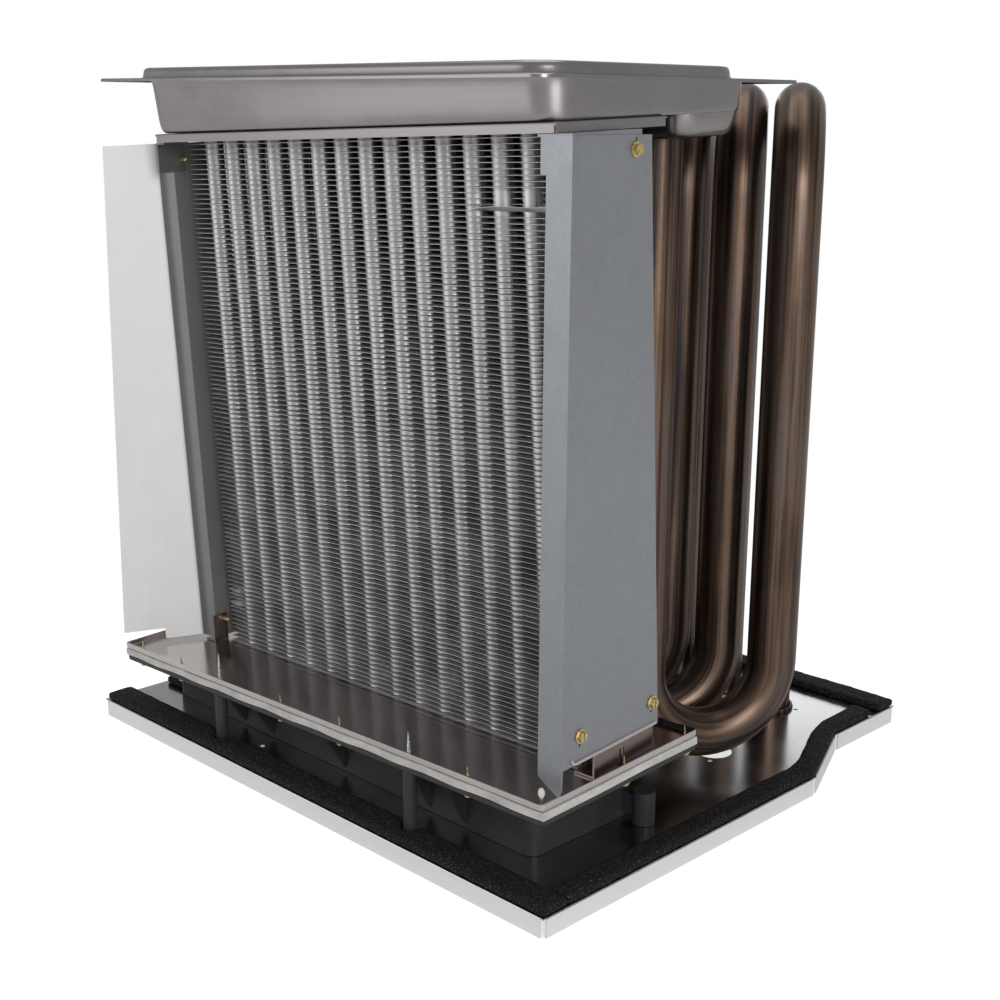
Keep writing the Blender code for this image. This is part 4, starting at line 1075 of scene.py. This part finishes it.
def soften(obj, seed):
    """A soft piece: its edges rounded and its surface slightly uneven."""
    remesh = obj.modifiers.new("even", 'REMESH')
    remesh.mode = 'VOXEL'
    remesh.voxel_size = FOAM_VOXEL
    relax = obj.modifiers.new("relax", 'SMOOTH')
    relax.factor = 0.5
    relax.iterations = 3
    apply_modifiers(obj)
    mesh = obj.data
    normals = [vert.normal.copy() for vert in mesh.vertices]
    for vert, normal in zip(mesh.vertices, normals):
        shift = (smooth_noise(vert.co.x * 6.0 + vert.co.y * 5.0, seed)
                 * smooth_noise(vert.co.y * 7.0 - vert.co.x * 4.0, seed + 3.0))
        vert.co += normal * FOAM_WANDER * shift
    mesh.shade_smooth()


def build_foam(node, material):
    """A foam strip from its CAD bar."""
    obj = copy_of(node, node.replace("gasket", "foam_strip"), material)
    soften(obj, len(node))
    seat(obj, "black_foam", node)


class EXCHANGER_OT_seals(bpy.types.Operator):
    """Build the foam strips, and finish the white strip and the moulded collector."""

    bl_idname = "exchanger.seals"
    bl_label = "Build Seals And Collector"
    bl_options = {'REGISTER', 'UNDO'}

    def execute(self, context):
        finish = settings("finish")
        foam = foam_finish("black_foam", finish.foam)
        for node in ("gasket_front", "gasket_right", "gasket_back", "gasket_left"):
            build_foam(node, foam)
        dress("collector_gasket", strip_finish("white_strip", finish.strip))
        dress("collector_box", plastic_finish("moulded_black", finish.plastic))
        return {'FINISHED'}


# Screws and the corner pin

THREAD_PITCH = 0.55 * MM
THREAD_ROOT = 0.78
# Part of a thread where its point begins, and how much thinner it is at the end
POINT_START = 0.55
POINT_TAPER = 0.86
SCREW_SIDES = 18

# Washer head: radius and height in millimetres
FLANGE_HEAD = ((1.6, 0.05), (2.9, 0.05), (3.2, 0.5), (3.2, 2.2), (4.1, 2.3), (4.1, 3.0),
               (1.5, 3.05))
# Threads: radius, start, and the part of the screw's length where they end
FLANGE_THREAD = (1.55 * MM, 3.2 * MM, 0.86)
POST_THREAD = (1.75 * MM, 0.3 * MM, 0.97)
POST_FOOT = 1.7 * MM

# The pin's stem, and its oval cap as parts of the pin's length
STEM_RADIUS = 1.2 * MM
STEM_END = 0.42
CAP_START = 0.43
CAP_MIDDLE = 0.71
CAP_RADIUS = 2.25 * MM
CAP_BLUNT = 0.15 * MM
CAP_STEPS = 12
PIN_SIDES = 20


def turned(name, profile, foot, axis, sides, material):
    """Solid turned round an axis, from its foot up; profile holds radius and height."""
    turn = axis.to_track_quat('Z', 'Y').to_matrix().to_4x4()
    soup = Soup()
    soup.rings([circle(0.0, 0.0, height, radius, sides) for radius, height in profile])
    return mesh_object(name, soup.verts, soup.faces, material,
                       Matrix.Translation(foot) @ turn, 40.0)


def thread(radius, start, end):
    """Radius and height up a threaded shank that ends in a point."""
    profile = []
    count = int((end - start) / THREAD_PITCH)
    for k in range(count + 1):
        part = k / count
        taper = 1.0 - max(0.0, part - POINT_START) / (1.0 - POINT_START) * POINT_TAPER
        crest = 1.0 if k % 2 else THREAD_ROOT
        profile.append((radius * taper * crest, start + (end - start) * part))
    return profile


def screw_ends(node):
    """Middle of a CAD screw's foot, its length and its direction, all upward."""
    axis = COIL.to_3x3() @ Vector((0.0, 0.0, 1.0))
    low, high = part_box(node)
    middle = (low + high) / 2
    length = high.z - low.z
    return middle - axis * (length / 2), length, axis


def build_flange_screw(node, name, material):
    """Washer head below the flange and a pointed tip above the tray."""
    foot, length, axis = screw_ends(node)
    radius, start, end = FLANGE_THREAD
    profile = [(wide * MM, height * MM) for wide, height in FLANGE_HEAD]
    profile += thread(radius, start, length * end)
    return turned(name, profile, foot, axis, SCREW_SIDES, material)


def build_post_screw(node, name, material):
    """Bright threaded rod standing in a post."""
    foot, length, axis = screw_ends(node)
    radius, start, end = POST_THREAD
    profile = [(POST_FOOT, 0.0)] + thread(radius, start, length * end)
    return turned(name, profile, foot, axis, SCREW_SIDES, material)


def build_corner_pin(node, name, material):
    """Thin stem with an oval cap."""
    foot, length, axis = screw_ends(node)
    profile = [(STEM_RADIUS, 0.0), (STEM_RADIUS, length * STEM_END)]
    for k in range(1, CAP_STEPS):
        angle = math.pi * k / CAP_STEPS
        rise = CAP_MIDDLE - (CAP_MIDDLE - CAP_START) * math.cos(angle)
        profile.append((CAP_RADIUS * math.sin(angle) + CAP_BLUNT, length * rise))
    return turned(name, profile, foot, axis, PIN_SIDES, material)


def pin_finish(name, node):
    """Cream cap on a bright stem."""
    foot, length, _axis = screw_ends(node)
    finish = Finish(name, (0.80, 0.77, 0.70), 0.0, 0.4)
    join = foot.z + length * CAP_START
    cap = finish.span(finish.height(), 0.0, 1.0, join - 0.2 * MM, join + 0.2 * MM)
    grain = finish.noise(300.0, 4.0)
    finish.base(finish.blend((0.5, 0.48, 0.44), finish.shades(grain, 0.86, 1.08), cap))
    finish.metallic(finish.span(cap, 1.0, 0.0, 0.0, 1.0))
    return finish.material


class EXCHANGER_OT_fasteners(bpy.types.Operator):
    """Build the threaded screws and the corner pin, and finish the others."""

    bl_idname = "exchanger.fasteners"
    bl_label = "Finish Fasteners"
    bl_options = {'REGISTER', 'UNDO'}

    def execute(self, context):
        finish = settings("finish")
        brass = screw_finish("plated_screw", finish.brass, 0.3)
        bright = screw_finish("bright_screw", finish.zinc, 0.25)
        for node in sorted(NODES):
            if node.startswith("post_screw"):
                seat(build_post_screw(node, node + "_rod", bright), "zinc_screw", node)
            elif node.startswith("flange_screw"):
                seat(build_flange_screw(node, node + "_turned", brass), "brass_screw", node)
            elif node == "corner_screw":
                seat(build_corner_pin(node, "corner_pin", pin_finish("cream_cap", node)),
                     "zinc_screw", node)
            elif "screw" in node:
                dress(node, brass)
        return {'FINISHED'}


# Studio

# The photograph's camera: its place, and its turn, tilt and roll in degrees
CAMERA_PLACE = (877.8 * MM, -902.2 * MM, 527.3 * MM)
CAMERA_TURN = 44.84
CAMERA_TILT = 14.43
CAMERA_ROLL = 0.42

# Lamps: place, target and size in metres
KEY_LAMP = ((2.4, -1.2, 1.0), (0.0, 0.0, 0.2), (1.2, 1.2))
LEFT_LAMP = ((-1.5, -2.4, 0.9), (0.0, 0.0, 0.2), (2.0, 1.8))
TOP_LAMP = ((-0.3, 0.2, 2.3), (0.0, 0.0, 0.2), (1.8, 1.8))
BACK_LAMP = ((-1.25, 1.75, 0.55), (0.25, 0.22, 0.0), (1.6, 0.8))

# The background, and the share of it that metal mirrors
WHITE = (1.0, 1.0, 1.0, 1.0)
MIRRORED = 0.3

# Surroundings that light the part; they darken from the horizon up to OVERHEAD_START
SIDE_LIGHT = (0.80, 0.80, 0.81, 1.0)
OVERHEAD_LIGHT = (0.42, 0.42, 0.43, 1.0)
OVERHEAD_START = 0.75

# Floor: its own light where it is seen, and the distances between which it turns
# white
FLOOR_GLOW = 0.66
FLOOR_FADE = (0.45, 0.95)
FLOOR_HALF = 9.0


def place_camera():
    """Camera that sees the exchanger as the photograph does."""
    studio = settings("studio")
    camera = bpy.data.cameras.new("camera")
    camera.lens = studio.lens
    camera.sensor_width = 36.0
    camera.clip_end = 20.0
    camera.dof.use_dof = False
    turn = math.radians(CAMERA_TURN)
    tilt = math.radians(CAMERA_TILT)
    roll = math.radians(CAMERA_ROLL)
    forward = Vector((-math.sin(turn) * math.cos(tilt), math.cos(turn) * math.cos(tilt),
                      -math.sin(tilt)))
    level = forward.cross(Vector((0.0, 0.0, 1.0))).normalized()
    upright = level.cross(forward)
    right = level * math.cos(roll) + upright * math.sin(roll)
    up = upright * math.cos(roll) - level * math.sin(roll)
    rotation = Matrix((right, up, -forward)).transposed()
    obj = bpy.data.objects.new("camera", camera)
    obj.matrix_world = Matrix.Translation(CAMERA_PLACE) @ rotation.to_4x4()
    bpy.context.scene.collection.objects.link(obj)
    bpy.context.scene.camera = obj


def place_lamp(name, place, power):
    """White rectangular lamp that the camera doesn't see."""
    location, target, size = place
    lamp = bpy.data.lights.new(name, 'AREA')
    lamp.shape = 'RECTANGLE'
    lamp.size = size[0]
    lamp.size_y = size[1]
    lamp.energy = power
    obj = bpy.data.objects.new(name, lamp)
    direction = Vector(target) - Vector(location)
    obj.location = location
    obj.rotation_euler = direction.to_track_quat('-Z', 'Y').to_euler()
    obj.visible_camera = False
    bpy.context.scene.collection.objects.link(obj)


def seen_share(tree):
    """1 for camera rays, MIRRORED for reflected and refracted ones, else 0."""
    rays = tree.nodes.new("ShaderNodeLightPath").outputs
    mirror = math_node(tree, 'ADD', rays["Is Glossy Ray"], rays["Is Transmission Ray"])
    return math_node(tree, 'MULTIPLY_ADD', mirror, MIRRORED, rays["Is Camera Ray"])


def white_light(tree, strength):
    """White emission; the strength is a socket or a number."""
    node = tree.nodes.new("ShaderNodeEmission")
    node.inputs["Color"].default_value = WHITE
    if isinstance(strength, bpy.types.NodeSocket):
        tree.links.new(strength, node.inputs["Strength"])
    else:
        node.inputs["Strength"].default_value = strength
    return node.outputs["Emission"]


def mixed_shader(tree, factor, first, second):
    """Mix of two shaders by a factor."""
    node = tree.nodes.new("ShaderNodeMixShader")
    for socket, source in zip(node.inputs, (factor, first, second)):
        tree.links.new(source, socket)
    return node.outputs["Shader"]


def light_world():
    """Pale surroundings, darker overhead; white where the camera sees them."""
    studio = settings("studio")
    world = bpy.data.worlds.new("studio")
    bpy.context.scene.world = world
    world.use_nodes = True
    tree = world.node_tree
    background = tree.nodes["Background"]
    coords = tree.nodes.new("ShaderNodeTexCoord")
    split = tree.nodes.new("ShaderNodeSeparateXYZ")
    ramp = tree.nodes.new("ShaderNodeValToRGB")
    low, high = ramp.color_ramp.elements
    low.position = 0.0
    low.color = SIDE_LIGHT
    high.position = OVERHEAD_START
    high.color = OVERHEAD_LIGHT
    tree.links.new(coords.outputs["Generated"], split.inputs["Vector"])
    tree.links.new(split.outputs["Z"], ramp.inputs["Fac"])
    around = tree.nodes.new("ShaderNodeBackground")
    around.inputs["Strength"].default_value = studio.world
    tree.links.new(ramp.outputs["Color"], around.inputs["Color"])
    background.inputs["Color"].default_value = WHITE
    background.inputs["Strength"].default_value = 1.0
    mixed = mixed_shader(tree, seen_share(tree), around.outputs["Background"],
                         background.outputs["Background"])
    tree.links.new(mixed, tree.nodes["World Output"].inputs["Surface"])


def lay_floor():
    """Pale floor that keeps the shadow and meets the white background."""
    studio = settings("studio")
    finish = Finish("studio_floor", studio.floor, 0.0, 0.8)
    tree = finish.tree
    seen = seen_share(tree)
    total = tree.nodes.new("ShaderNodeAddShader")
    glow = white_light(tree, math_node(tree, 'MULTIPLY', seen, FLOOR_GLOW))
    tree.links.new(finish.shader.outputs["BSDF"], total.inputs[0])
    tree.links.new(glow, total.inputs[1])
    reach = tree.nodes.new("ShaderNodeVectorMath")
    reach.operation = 'LENGTH'
    tree.links.new(finish.coords.outputs["Object"], reach.inputs[0])
    away = finish.span(reach.outputs["Value"], 0.0, 1.0, *FLOOR_FADE)
    fade = math_node(tree, 'MULTIPLY', away, seen)
    mixed = mixed_shader(tree, fade, total.outputs["Shader"], white_light(tree, 1.0))
    tree.links.new(mixed, tree.nodes["Material Output"].inputs["Surface"])
    half = FLOOR_HALF
    corners = [(-half, -half, 0.0), (half, -half, 0.0), (half, half, 0.0), (-half, half, 0.0)]
    floor = mesh_object("floor", corners, [(0, 1, 2, 3)], finish.material)


class EXCHANGER_OT_stage(bpy.types.Operator):
    """Set up the camera, the lamps, the surroundings and the floor."""

    bl_idname = "exchanger.stage"
    bl_label = "Set Up Studio"
    bl_options = {'REGISTER', 'UNDO'}

    def execute(self, context):
        studio = settings("studio")
        context.scene.view_settings.view_transform = 'Standard'
        place_camera()
        place_lamp("key_lamp", KEY_LAMP, studio.key)
        place_lamp("left_lamp", LEFT_LAMP, studio.left)
        place_lamp("top_lamp", TOP_LAMP, studio.top)
        place_lamp("back_lamp", BACK_LAMP, studio.back)
        light_world()
        lay_floor()
        return {'FINISHED'}


STEPS = ("stage", "sheet_metal", "coupling", "seals", "fasteners", "coil", "tubes")


class EXCHANGER_PT_sidebar(bpy.types.Panel):
    """Sidebar panel with the exchanger's steps and sizes."""

    bl_label = "Heat Exchanger"
    bl_idname = "EXCHANGER_PT_sidebar"
    bl_space_type = 'VIEW_3D'
    bl_region_type = 'UI'
    bl_category = "Exchanger"

    def draw(self, context):
        layout = self.layout
        for step in STEPS:
            layout.operator("exchanger." + step)
        for group in ("coil", "tubes", "finish", "studio"):
            box = layout.box()
            box.label(text=group.capitalize())
            values = settings(group)
            for name in values.bl_rna.properties.keys():
                if name not in ("rna_type", "name"):
                    box.prop(values, name)


GROUPS = (("coil", ExchangerCoilSettings), ("tubes", ExchangerTubeSettings),
          ("finish", ExchangerFinishSettings), ("studio", ExchangerStudioSettings))
CLASSES = tuple(group for _name, group in GROUPS) + (
    EXCHANGER_OT_stage, EXCHANGER_OT_sheet_metal, EXCHANGER_OT_coupling,
    EXCHANGER_OT_seals, EXCHANGER_OT_fasteners, EXCHANGER_OT_coil, EXCHANGER_OT_tubes,
    EXCHANGER_PT_sidebar)


def register():
    for cls in CLASSES:
        bpy.utils.register_class(cls)
    for name, group in GROUPS:
        setattr(bpy.types.Scene, "exchanger_" + name, PointerProperty(type=group))


def unregister():
    for name, _group in GROUPS:
        delattr(bpy.types.Scene, "exchanger_" + name)
    for cls in reversed(CLASSES):
        bpy.utils.unregister_class(cls)


def main():
    register()
    for step in STEPS:
        getattr(bpy.ops.exchanger, step)()


if __name__ == "__main__":
    main()
